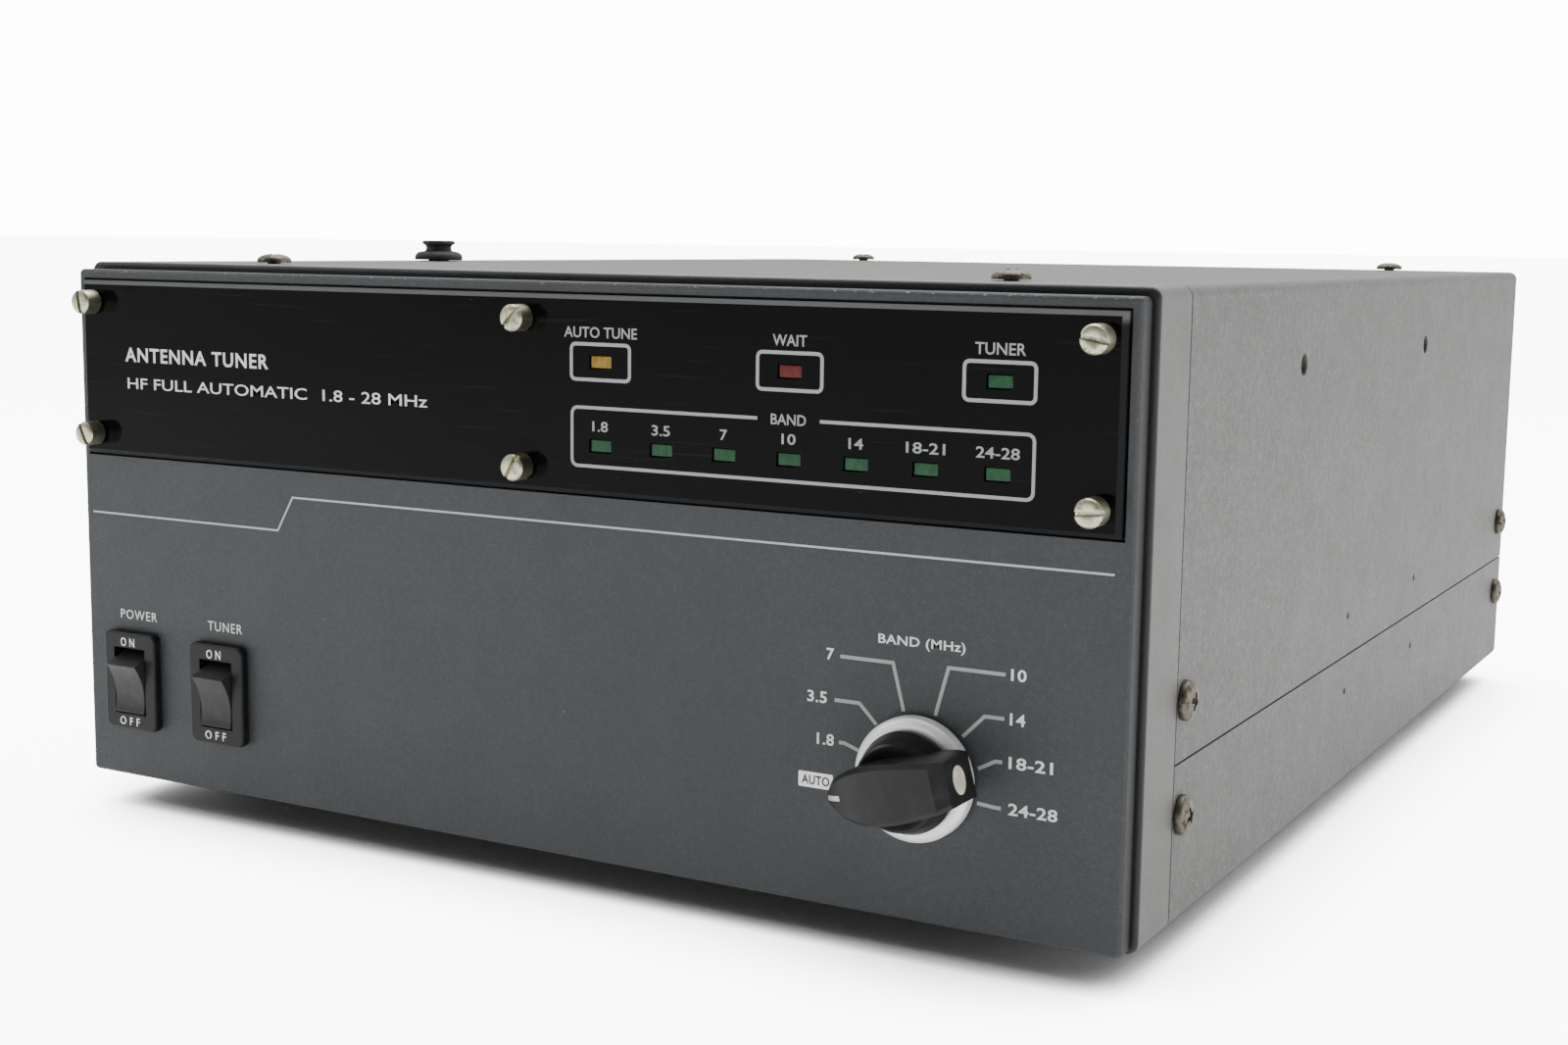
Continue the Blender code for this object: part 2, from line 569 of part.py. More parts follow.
def make_inner_frame():
    wall = HALF - SHEET - 0.4 * MM
    tray = prism(folded_sheet(wall, BASE + SHEET + 0.4 * MM, CHASSIS_WALL_TOP, 1.5 * MM, SHEET),
                 Y, SUBPANEL_Y + SHEET + GAP, CHASSIS_BACK)
    cuts = side_holes(wall, SIDE_SCREW_Z)
    cuts += [rod(Z, place, FOOT_BOSS + GAP + 0.1 * MM, BASE, FLOOR + 1 * MM, 12) for place in foot_places()]
    body("chassis", "steel", [tray], cuts)

    shelf_top = TOP - SHEET - 0.4 * MM
    screw_holes = [rod(Z, place, SCREW_HOLE, shelf_top - 3 * MM, shelf_top + 1 * MM, 8)
                   for place in top_screw_places()]
    front_holes, rear_holes = screw_holes[:2], screw_holes[2:]
    subpanel_back = SUBPANEL_Y + SHEET
    panel = box((-wall, SUBPANEL_Y, BASE + 3 * MM), (wall, subpanel_back, shelf_top))
    flange = box((-wall, SUBPANEL_Y, shelf_top - SHEET), (wall, SUBPANEL_Y + 12 * MM, shelf_top))
    bushing_hole = rod(Y, (KNOB_X, KNOB_Z), 5.0 * MM, SUBPANEL_Y - 1 * MM, subpanel_back + 1 * MM, 20)
    body("front_subpanel", "steel", [panel, flange], front_holes + [bushing_hole])

    rear_back = REAR_PANEL_Y + REAR_PANEL_THICKNESS
    panel = box((-wall, REAR_PANEL_Y, BASE + SHEET + 0.5 * MM), (wall, rear_back, shelf_top))
    flange = box((-wall, REAR_PANEL_Y - 13 * MM, shelf_top - SHEET), (wall, rear_back, shelf_top))
    before, behind = REAR_PANEL_Y - 1 * MM, rear_back + 1 * MM
    cuts = rear_holes
    cuts += [rod(Y, place, COAX_NECK + 0.4 * MM, before, behind, 20) for place in COAX_PLACES.values()]
    cuts.append(rod(Y, GROUND_PLACE, POST_RADIUS + 0.4 * MM, before, behind, 16))
    cuts.append(rod(Y, FUSE_PLACE, FUSE_RADIUS + GAP, before, behind, 20))
    cuts.append(rod(Y, ACCESSORY_PLACE, ACCESSORY_RADIUS + GAP, before, behind, 24))
    x, z = INLET_PLACE
    across, up = INLET_CASE[0] + 0.4 * MM, INLET_CASE[1] + 0.4 * MM
    cuts.append(box((x - across, before, z - up), (x + across, behind, z + up)))
    body("rear_panel", "spun_aluminium", [panel, flange], cuts)


def dome_screw(name, place, rotation):
    """Dome-head screw, drawn with its head along +Z and turned to face outwards."""
    height = SCREW_HEAD_HEIGHT
    head = turned([(0, height), (2.3 * MM, 0.8 * height), (SCREW_HEAD, 0.3 * height), (SCREW_HEAD, GAP),
                   (SCREW_SHANK, GAP), (SCREW_SHANK, -6 * MM), (0, -6 * MM)], Z, (0, 0), 12)
    body(name, "aged_nickel", [head], location=place, rotation=rotation)


def make_case_screws():
    for number, (side, y, z) in enumerate(side_screw_places(), 1):
        dome_screw(f"side_screw_{number}", (side * HALF, y, z), (0, side * math.pi / 2, 0))
    for number, (x, y) in enumerate(top_screw_places(), 1):
        dome_screw(f"top_screw_{number}", (x, y, TOP), (0, 0, 0))


def make_plug_and_feet():
    rim = TOP + GAP
    profile = [(0, TOP - 5 * MM), (2.6 * MM, TOP - 5 * MM), (2.6 * MM, rim), (6.0 * MM, rim),
               (6.0 * MM, rim + 1.2 * MM), (5.0 * MM, rim + 2.2 * MM), (3.2 * MM, rim + 2.3 * MM),
               (3.2 * MM, rim + 3.6 * MM), (4.15 * MM, rim + 4.0 * MM), (4.15 * MM, rim + 4.9 * MM),
               (0, rim + 4.9 * MM)]
    body("top_plug", "rubber", [turned(profile, Z, (PLUG_X, PLUG_Y), 14)])
    seat = BASE - GAP
    for number, place in enumerate(foot_places(), 1):
        profile = [(0, 0), (FOOT_RADIUS - 2.2 * MM, 0), (FOOT_RADIUS - 1.0 * MM, 0.8 * MM),
                   (FOOT_RADIUS, seat - 1 * MM), (FOOT_RADIUS, seat), (FOOT_BOSS, seat),
                   (FOOT_BOSS, FLOOR + 1.5 * MM), (0, FLOOR + 1.5 * MM)]
        body(f"foot_{number}", "rubber", [turned(profile, Z, place, 14)])


# Rear connectors

def make_coax_socket(name, place):
    """Square-flanged socket: a threaded barrel with a hollow mouth, and a solder tail inside."""
    seat, half, bore, barrel_radius = CONNECTOR_SEAT, COAX_FLANGE / 2, 5.7 * MM, 7.9 * MM
    end = seat + 18 * MM
    floor = end - 6 * MM
    shoulder = seat + 0.5 * MM
    flange = prism(rectangle((-half, -half), (half, half)), Y, seat, seat + 1.6 * MM)
    barrel = turned([(0, CONNECTOR_INSIDE), (COAX_NECK, CONNECTOR_INSIDE), (COAX_NECK, shoulder),
                     (barrel_radius, shoulder), (barrel_radius, end), (bore, end), (bore, floor),
                     (0, floor)], Y, (0, 0), 18)
    tail = rod(Y, (0, 0), 2.0 * MM, CONNECTOR_INSIDE - 6 * MM, CONNECTOR_INSIDE + 2 * MM, 8)
    holes = [rod(Y, (across * COAX_BOLT, up * COAX_BOLT), 1.4 * MM, seat - 1 * MM, seat + 3 * MM, 8)
             for across in (-1, 1) for up in (-1, 1)]
    body(f"coax_socket_{name}", "steel", [flange, barrel, tail], holes, location=(place[0], 0, place[1]))


def make_ground_post():
    """Threaded post with a collar on the panel and a round thumb nut."""
    seat, radius, outer = CONNECTOR_SEAT, POST_RADIUS, CASE_DEPTH + REAR_REACH
    collar, nut = 5.5 * MM, 7.5 * MM
    profile = [(0, seat - 8 * MM), (radius, seat - 8 * MM), (radius, seat), (collar, seat),
               (collar, seat + 3 * MM), (radius, seat + 3 * MM), (radius, seat + 8 * MM),
               (nut, seat + 8 * MM), (nut, seat + 14 * MM), (radius, seat + 15 * MM),
               (radius, outer - 0.6 * MM), (radius - 0.6 * MM, outer), (0, outer)]
    body("ground_post", "brass", [turned(profile, Y, GROUND_PLACE, 14)])


def make_fuse():
    """Fuse holder and its bayonet cap with a coin slot."""
    seat, bore, rim = CONNECTOR_SEAT, 3.7 * MM, 8.0 * MM
    tail = CONNECTOR_INSIDE - 16 * MM
    holder = turned([(bore, tail), (FUSE_RADIUS, tail), (FUSE_RADIUS, seat), (rim, seat),
                     (rim, seat + 2.4 * MM), (bore, seat + 2.4 * MM)], Y, FUSE_PLACE, 18, ring=True)
    body("fuse_holder", "black_plastic", [holder])
    face, stem, grip = seat + 2.7 * MM, 3.2 * MM, 6.4 * MM
    back = CONNECTOR_INSIDE - 14 * MM
    cap = turned([(0, back), (stem, back), (stem, face), (grip, face), (grip, face + 6.5 * MM),
                  (grip - 0.8 * MM, face + 8 * MM), (0, face + 8 * MM)], Y, (0, 0), 18)
    coin_slot = box((-4.2 * MM, face + 6 * MM, -0.6 * MM), (4.2 * MM, face + 9 * MM, 0.6 * MM))
    body("fuse_cap", "black_plastic", [cap], [coin_slot], location=(FUSE_PLACE[0], 0, FUSE_PLACE[1]))


def make_accessory_socket():
    seat, rim, well = CONNECTOR_SEAT, 10.5 * MM, 7.0 * MM
    face, floor = seat + 1.8 * MM, seat - 5.2 * MM
    profile = [(0, CONNECTOR_INSIDE), (ACCESSORY_RADIUS, CONNECTOR_INSIDE), (ACCESSORY_RADIUS, seat),
               (rim, seat), (rim, face), (well, face), (well, floor), (0, floor)]
    body("accessory_socket", "black_plastic", [turned(profile, Y, ACCESSORY_PLACE, 18)])


def make_mains_inlet():
    x, z = INLET_PLACE
    seat, rim_half, rim_up = CONNECTOR_SEAT, 15.5 * MM, 12 * MM
    across, up = INLET_CASE
    rim = prism(rectangle((x - rim_half, z - rim_up), (x + rim_half, z + rim_up), 2 * MM),
                Y, seat, seat + 2.5 * MM)
    case = box((x - across, REAR_PANEL_Y - 20 * MM, z - up), (x + across, seat + 1 * MM, z + up))
    cavity = box((x - 12 * MM, seat - 15 * MM, z - 8.2 * MM), (x + 12 * MM, seat + 4 * MM, z + 8.2 * MM))
    body("mains_inlet", "black_plastic", [rim, case], [cavity])


# Inner units

def make_capacitor(name, x):
    """Variable capacitor with its gear, turned by a motor and pinion in front of it."""
    z = CAPACITOR_Z
    front, back = CAPACITOR_FRONT, CAPACITOR_FRONT + CAPACITOR_LENGTH
    half = 28 * MM
    ends = [box((x - half, y, FLOOR + GAP), (x + half, y + 2 * MM, z + 26 * MM))
            for y in (front, back - 2 * MM)]
    bars = [box((bar - 2 * MM, front, z + 8 * MM), (bar + 2 * MM, back, z + 12 * MM))
            for bar in (x - 26 * MM, x + 26 * MM)]
    first = front + 7.5 * MM
    vanes = [box((x - 25 * MM, first + index * PLATE_PITCH, z + 2 * MM),
                 (x + 25 * MM, first + index * PLATE_PITCH + VANE, z + 24 * MM))
             for index in range(PLATE_COUNT)]
    clearance = rod(Y, (x, z), 6.5 * MM, first - 3 * MM, back - 4 * MM, 14)
    bearings = rod(Y, (x, z), SHAFT_RADIUS + RUNNING_GAP, front - 1 * MM, back + 1 * MM, 16)
    body(f"{name}_capacitor_stator", "spun_aluminium", ends + bars + vanes, [clearance, bearings])

    place = (x, 0, z)
    shaft = rod(Y, (0, 0), SHAFT_RADIUS, GEAR_FRONT - 2 * MM, back + 3 * MM, 14)
    half_disc = circle(ROTOR_RADIUS, 20)[:11]
    vane_start = first + PLATE_PITCH / 2
    rotor_vanes = [prism(half_disc, Y, start, start + VANE)
                   for start in (vane_start + index * PLATE_PITCH for index in range(PLATE_COUNT - 1))]
    hub = rod(Y, (0, 0), 5.0 * MM, first - 1 * MM, back - 8 * MM, 12)
    gear = prism(gear_outline(GEAR_TEETH, GEAR_MODULE, -math.pi / 2, (0, 0)),
                 Y, GEAR_FRONT, GEAR_FRONT + GEAR_WIDTH)
    body(f"{name}_capacitor_rotor", "brass", [shaft, hub, gear] + rotor_vanes, location=place)

    motor_z = z - GEAR_CENTRES
    motor = turned([(0, 62 * MM), (4 * MM, 62 * MM), (4 * MM, 64 * MM), (MOTOR_RADIUS - 1 * MM, 64 * MM),
                    (MOTOR_RADIUS, 65 * MM), (MOTOR_RADIUS, 97 * MM), (5 * MM, 97 * MM), (5 * MM, 99 * MM),
                    (0, 99 * MM)], Y, (x, motor_z), 18)
    pedestal = box((x - 10 * MM, 70 * MM, FLOOR + GAP), (x + 10 * MM, 92 * MM, motor_z))
    shaft_socket = rod(Y, (x, motor_z), 1.5 * MM + RUNNING_GAP, 94 * MM, 100 * MM, 10)
    body(f"{name}_motor", "steel", [motor, pedestal], [shaft_socket])
    pinion_phase = math.pi / 2 + math.pi / PINION_TEETH
    pinion = prism(gear_outline(PINION_TEETH, GEAR_MODULE, pinion_phase, (0, 0)),
                   Y, GEAR_FRONT - 0.5 * MM, GEAR_FRONT + GEAR_WIDTH + 0.5 * MM)
    spindle = rod(Y, (0, 0), 1.5 * MM, 94.4 * MM, 108.5 * MM, 8)
    body(f"{name}_pinion", "brass", [pinion, spindle], location=(x, 0, motor_z))


def make_inner_units():
    for name, x in CAPACITOR_X.items():
        make_capacitor(name, x)

    x, z = COIL_PLACE
    former, wire = 19 * MM, 22 * MM
    profile = [(0, COIL_START - 4 * MM), (former, COIL_START - 4 * MM)]
    for turn in range(COIL_TURNS):
        along = COIL_START + turn * COIL_PITCH
        profile += [(former, along), (wire, along + 0.8 * MM), (wire, along + 2.2 * MM),
                    (former, along + 3 * MM)]
    coil_end = COIL_START + COIL_TURNS * COIL_PITCH
    profile += [(former, coil_end), (0, coil_end)]
    stands = [box((x - 20 * MM, y, FLOOR + GAP), (x + 20 * MM, y + 4 * MM, z + 24 * MM))
              for y in (COIL_START - 7 * MM, coil_end - 1 * MM)]
    body("tank_coil", "ceramic", [turned(profile, Y, (x, z), 12)] + stands)

    core = box((-72 * MM, 228 * MM, FLOOR + GAP), (-12 * MM, 248 * MM, 62 * MM))
    winding = box((-62 * MM, 218 * MM, 20 * MM), (-22 * MM, 258 * MM, 54 * MM))
    body("power_transformer", "steel", [core, winding])

    board = box((-112 * MM, 60 * MM, 18 * MM), (-66 * MM, 205 * MM, 19.6 * MM))
    pillars = [rod(Z, (px, py), 2.5 * MM, FLOOR + GAP, 18.5 * MM, 8)
               for px in (-108 * MM, -70 * MM) for py in (64 * MM, 201 * MM)]
    chips = [box((-102 * MM, y, 19 * MM), (-86 * MM, y + 9 * MM, 23 * MM))
             for y in (80 * MM, 105 * MM, 130 * MM, 155 * MM)]
    connector = box((-76 * MM, 90 * MM, 19 * MM), (-70 * MM, 170 * MM, 28 * MM))
    body("control_board", "circuit_board", [board] + pillars + chips + [connector])


def main():
    clear_scene()
    tuner = bpy.data.objects.new("tuner", None)
    bpy.context.collection.objects.link(tuner)
    tuner.location = (0, FRONT_Y, 0)
    make_front_plate()
    make_front_bezel()
    make_window()
    make_indicators()
    for name, x in zip(("power", "tuner"), SWITCH_X):
        make_switch(name, x)
    make_knob()
    make_covers()
    make_inner_frame()
    make_case_screws()
    make_plug_and_feet()
    for name, place in COAX_PLACES.items():
        make_coax_socket(name, place)
    make_ground_post()
    make_fuse()
    make_accessory_socket()
    make_mains_inlet()
    make_inner_units()


main()
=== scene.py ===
"""Looks of the antenna tuner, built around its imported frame.

Every size comes from the frame's boxes or from the named values below. Lengths are in
metres, +Z is up and the front panel faces -Y. Each piece keeps its place in its mesh, so
object coordinates are places in the shared frame.
"""
import math

import bmesh
import bpy
from mathutils import Matrix, Vector


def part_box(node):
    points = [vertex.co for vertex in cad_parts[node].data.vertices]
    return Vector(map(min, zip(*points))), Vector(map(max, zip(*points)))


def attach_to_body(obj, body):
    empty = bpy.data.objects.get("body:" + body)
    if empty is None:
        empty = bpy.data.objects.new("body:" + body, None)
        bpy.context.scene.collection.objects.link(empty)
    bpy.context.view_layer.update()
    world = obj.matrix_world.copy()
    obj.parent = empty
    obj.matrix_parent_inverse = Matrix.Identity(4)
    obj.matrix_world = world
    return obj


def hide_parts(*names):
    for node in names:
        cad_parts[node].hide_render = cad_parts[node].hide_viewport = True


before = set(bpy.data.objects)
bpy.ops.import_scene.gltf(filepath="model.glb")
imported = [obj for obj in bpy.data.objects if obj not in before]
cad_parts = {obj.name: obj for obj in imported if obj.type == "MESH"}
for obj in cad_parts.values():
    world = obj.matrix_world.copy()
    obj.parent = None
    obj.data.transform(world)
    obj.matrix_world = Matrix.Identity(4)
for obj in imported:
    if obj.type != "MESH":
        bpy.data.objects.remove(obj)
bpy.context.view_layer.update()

MM = 0.001
X, Y, Z = 0, 1, 2


def mm(*values):
    """Lengths in millimetres, as metres."""
    return tuple(value * MM for value in values)


def points(*pairs, base=0.0):
    """Pairs in millimetres as points in metres, the second number counted from a base."""
    return [(first * MM, base + second * MM) for first, second in pairs]



PLATE_LOW, PLATE_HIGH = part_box("front_plate")
BEZEL_LOW, BEZEL_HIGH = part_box("front_bezel")
COVER_LOW, COVER_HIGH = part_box("top_cover")
TRAY_LOW, TRAY_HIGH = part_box("bottom_cover")
PANE_LOW, PANE_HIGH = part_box("window_panel")
REAR_LOW, REAR_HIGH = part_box("rear_panel")
FRONT = PLATE_LOW.y
GAP = 0.3 * MM

# Camera, as the photograph's: turned left of +Y, tipped down and slightly rolled
CAMERA_PLACE = (0.2324, -0.4776, 0.1254)
CAMERA_LENS = 48.04
CAMERA_YAW = math.radians(29.17)
CAMERA_PITCH = math.radians(-7.73)
CAMERA_ROLL = math.radians(0.77)

# Brightness of the world in front, behind and as seen, and of the floor as seen
ROOM_GLOW = 0.12
BACKDROP_GLOW = 1.7
SEEN_GLOW = 14.0
FLOOR_GLOW = 8.0
FLOOR_BOUNCE = 1.0
SHADOW_REACH = 45 * MM
FLOOR_SIZE = 60.0

# Thickness of printing, above the face that it is on
INK_HEIGHT = 0.03 * MM


# ---------------------------------------------------------------- places from the frame

def middle(node):
    low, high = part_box(node)
    return (low + high) / 2


def depths(node):
    """Where a node starts and ends, as depth behind the front plate's face."""
    low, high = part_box(node)
    return low.y - FRONT, high.y - FRONT


def centred(node):
    """Place on this node's axis for a piece that is made about the origin."""
    centre = middle(node)
    return (centre.x, 0, centre.z)


def numbered(prefix, count):
    return [f"{prefix}_{number}" for number in range(1, count + 1)]


WINDOW_SCREWS = numbered("window_screw", 6)
SIDE_SCREWS = numbered("side_screw", 8)
TOP_SCREWS = numbered("top_screw", 4)
FEET = numbered("foot", 4)
SWITCHES = ("power", "tuner")
COAX_SOCKETS = ("coax_socket_input", "coax_socket_antenna")

PLATE_BACK = PLATE_HIGH.y - FRONT
PANE_FRONT, PANE_BACK = depths("window_panel")
LENS_SIZE = mm(4.8, 2.5)
LENS_RECESS = 0.35 * MM
STATUS_X = mm(16.15, 55.75, 95.35)
BAND_X = [(16.15 + 13.2 * index) * MM for index in range(7)]
BAND_NAMES = ("1.8", "3.5", "7", "10", "14", "18-21", "24-28")
STATUS_Z = middle("status_light_block").z
BAND_Z = middle("band_light_block").z
KNOB = middle("selector_switch")
KNOB_REST = math.radians(195)
ROCKER_TILT = math.radians(12)
PIVOT_DEPTH = 3.4 * MM
WELL_HALF = 7.2 * MM
ROCKER_HALF_WIDTH = 4.2 * MM
SCREW_SHANK = 1.4 * MM
SCREW_HOLE = 1.8 * MM
CLEAR = 1 * MM
SHEET = 1.2 * MM
SHEET_BEND = 2.0 * MM
REAR_SEAT = depths("rear_panel")[1] + GAP


def window_screw_holes(start, end):
    places = [middle(node) for node in WINDOW_SCREWS]
    return [rod(Y, (place.x, place.z), SCREW_HOLE, start, end, 20) for place in places]


def lens_holes(start, end, margin):
    half = (LENS_SIZE[0] / 2 + margin, LENS_SIZE[1] / 2 + margin)
    places = [(x, STATUS_Z) for x in STATUS_X] + [(x, BAND_Z) for x in BAND_X]
    return [block(place, half, start, end) for place in places]


# ---------------------------------------------------------------- outlines and solids

def circle(radius, sides, centre=(0, 0)):
    turn = 2 * math.pi / sides
    angles = [index * turn for index in range(sides)]
    return [(centre[0] + radius * math.cos(angle), centre[1] + radius * math.sin(angle)) for angle in angles]


def rectangle(low, high, corner=0.0, steps=5):
    """A rectangle from its low to its high corner, with rounded corners if asked."""
    if not corner:
        return [low, (high[0], low[1]), high, (low[0], high[1])]
    outline = []
    for index, (cx, cy) in enumerate([low, (high[0], low[1]), high, (low[0], high[1])]):
        centre_x = cx + (corner if cx == low[0] else -corner)
        centre_y = cy + (corner if cy == low[1] else -corner)
        for step in range(steps + 1):
            angle = math.pi + (index + step / steps) * math.pi / 2
            outline.append((centre_x + corner * math.cos(angle), centre_y + corner * math.sin(angle)))
    return outline


def prism(outline, axis, start, end):
    """A face with this outline, square to the axis, extruded from start to end."""
    shape = bmesh.new()
    across = [other for other in (X, Y, Z) if other != axis]
    corners = []
    for first, second in outline:
        place = Vector((0, 0, 0))
        place[axis] = start
        place[across[0]] = first
        place[across[1]] = second
        corners.append(shape.verts.new(place))
    grown = bmesh.ops.extrude_face_region(shape, geom=[shape.faces.new(corners)])
    travel = Vector((0, 0, 0))
    travel[axis] = end - start
    moved = [item for item in grown["geom"] if isinstance(item, bmesh.types.BMVert)]
    bmesh.ops.translate(shape, verts=moved, vec=travel)
    bmesh.ops.recalc_face_normals(shape, faces=shape.faces)
    return shape


def box(low, high):
    return prism(rectangle((low[0], low[2]), (high[0], high[2])), Y, low[1], high[1])


def block(centre, half, start, end):
    """A box about a centre (x, z), reaching half to each side of it, from start to end in depth."""
    (x, z), (across, up) = centre, half
    return box((x - across, start, z - up), (x + across, end, z + up))


def rod(axis, centre, radius, start, end, sides=32):
    return prism(circle(radius, sides, centre), axis, start, end)


def turned(profile, axis, centre, sides=48, ring=False):
    """A profile of (radius, place along the axis) points, spun round the axis."""
    shape = bmesh.new()
    across = [other for other in (X, Y, Z) if other != axis]
    pivot = Vector((0, 0, 0))
    pivot[across[0]], pivot[across[1]] = centre
    line = []
    for radius, along in profile:
        place = pivot.copy()
        place[axis] = along
        place[across[0]] += radius
        line.append(shape.verts.new(place))
    edges = [shape.edges.new(pair) for pair in zip(line, line[1:])]
    if ring:
        edges.append(shape.edges.new((line[-1], line[0])))
    direction = Vector((0, 0, 0))
    direction[axis] = 1
    bmesh.ops.spin(shape, geom=line + edges, cent=pivot, axis=direction,
                   angle=2 * math.pi, steps=sides, use_merge=True)
    bmesh.ops.remove_doubles(shape, verts=shape.verts, dist=0.0005 * MM)
    bmesh.ops.recalc_face_normals(shape, faces=shape.faces)
    return shape


def loft(sections):
    """Rings of equally many points, joined in turn and closed at both ends."""
    shape = bmesh.new()
    rings = [[shape.verts.new(point) for point in section] for section in sections]
    for near, far in zip(rings, rings[1:]):
        for index in range(len(near)):
            following = (index + 1) % len(near)
            shape.faces.new((near[index], near[following], far[following], far[index]))
    shape.faces.new(rings[0])
    shape.faces.new(rings[-1])
    bmesh.ops.recalc_face_normals(shape, faces=shape.faces)
    return shape


def folded_sheet(half_width, base, tip, corner, thickness, steps=8):
    """A U folded from sheet: flat at height base, with its sides ending at height tip."""
    up = 1 if tip > base else -1
    outline = []
    for inset, order in ((0.0, 1), (thickness, -1)):
        radius = corner - inset
        side = half_width - inset
        level = base + up * inset
        line = [(-side, tip)]
        for sign in (-1, 1):
            for step in range(steps + 1):
                angle = math.pi / 2 * step / steps
                across, rise = math.cos(angle), math.sin(angle)
                if sign > 0:
                    across, rise = rise, across
                line.append((sign * (side - radius + radius * across), level + up * radius * (1 - rise)))
        line.append((side, tip))
        outline += line[::order]
    return outline


# ---------------------------------------------------------------- objects

def link(name, mesh, material):
    piece = bpy.data.objects.new(name, mesh)
    bpy.context.scene.collection.objects.link(piece)
    mesh.materials.clear()
    mesh.materials.append(material)
    return piece


def merged(shapes, name="merged"):
    """One mesh out of several shapes, which stay separate closed bodies in it."""
    whole = bmesh.new()
    for shape in shapes:
        part = bpy.data.meshes.new("part")
        shape.to_mesh(part)
        shape.free()
        whole.from_mesh(part)
        bpy.data.meshes.remove(part)
    mesh = bpy.data.meshes.new(name)
    whole.to_mesh(mesh)
    whole.free()
    return mesh


def bake(piece):
    """Applies the modifiers and the object's own transform to its mesh."""
    bpy.context.view_layer.update()
    graph = bpy.context.evaluated_depsgraph_get()
    mesh = bpy.data.meshes.new_from_object(piece.evaluated_get(graph))
    mesh.transform(piece.matrix_world)
    mesh.name = piece.name
    old = piece.data
    piece.modifiers.clear()
    piece.data = mesh
    piece.matrix_world = Matrix.Identity(4)
    bpy.data.meshes.remove(old)


def shade(mesh, angle):
    mesh.shade_smooth()
    mesh.set_sharp_from_angle(angle=math.radians(angle))


def build(name, material, shapes, cuts=(), at=(0, 0, 0), turn=(0, 0, 0), bevel=0.0, steps=2,
          sharp=32, body="case", stands_for=(), slot=None):
    """A finished piece: shapes joined, less the cuts, edges rounded, riding on its body.

    Its place is (x, depth behind the front plate's face, z). The slot is not used.
    """
    piece = link(name, merged(shapes[:1], name), material)
    tools = []
    for label, operation, group in (("_join", "UNION", shapes[1:]), ("_cut", "DIFFERENCE", cuts)):
        if group:
            tool = link(name + label, merged(group), material)
            modifier = piece.modifiers.new(operation, "BOOLEAN")
            modifier.operation = operation
            modifier.solver = "EXACT"
            modifier.use_self = True
            modifier.object = tool
            tools.append(tool)
    if bevel:
        edge = piece.modifiers.new("Bevel", "BEVEL")
        edge.width = bevel
        edge.segments = steps
        edge.limit_method = "ANGLE"
        edge.angle_limit = math.radians(40)
        edge.use_clamp_overlap = True
    bake(piece)
    for tool in tools:
        bpy.data.objects.remove(tool, do_unlink=True)
    piece.location = (at[0], at[1] + FRONT, at[2])
    piece.rotation_euler = turn
    bake(piece)
    shade(piece.data, sharp)
    evened = piece.modifiers.new("Evened", "WEIGHTED_NORMAL")
    evened.keep_sharp = True
    evened.weight = 90
    bake(piece)
    attach(piece, body, stands_for)


def attach(piece, body="case", stands_for=()):
    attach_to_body(piece, body)
    if stands_for:
        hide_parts(*stands_for)


def stand_in(node, material, shapes, cuts=(), **options):
    """A piece that takes the place of one CAD node and is named after it."""
    build(f"{node}_visual", material, shapes, cuts, stands_for=[node], **options)


# ---------------------------------------------------------------- materials

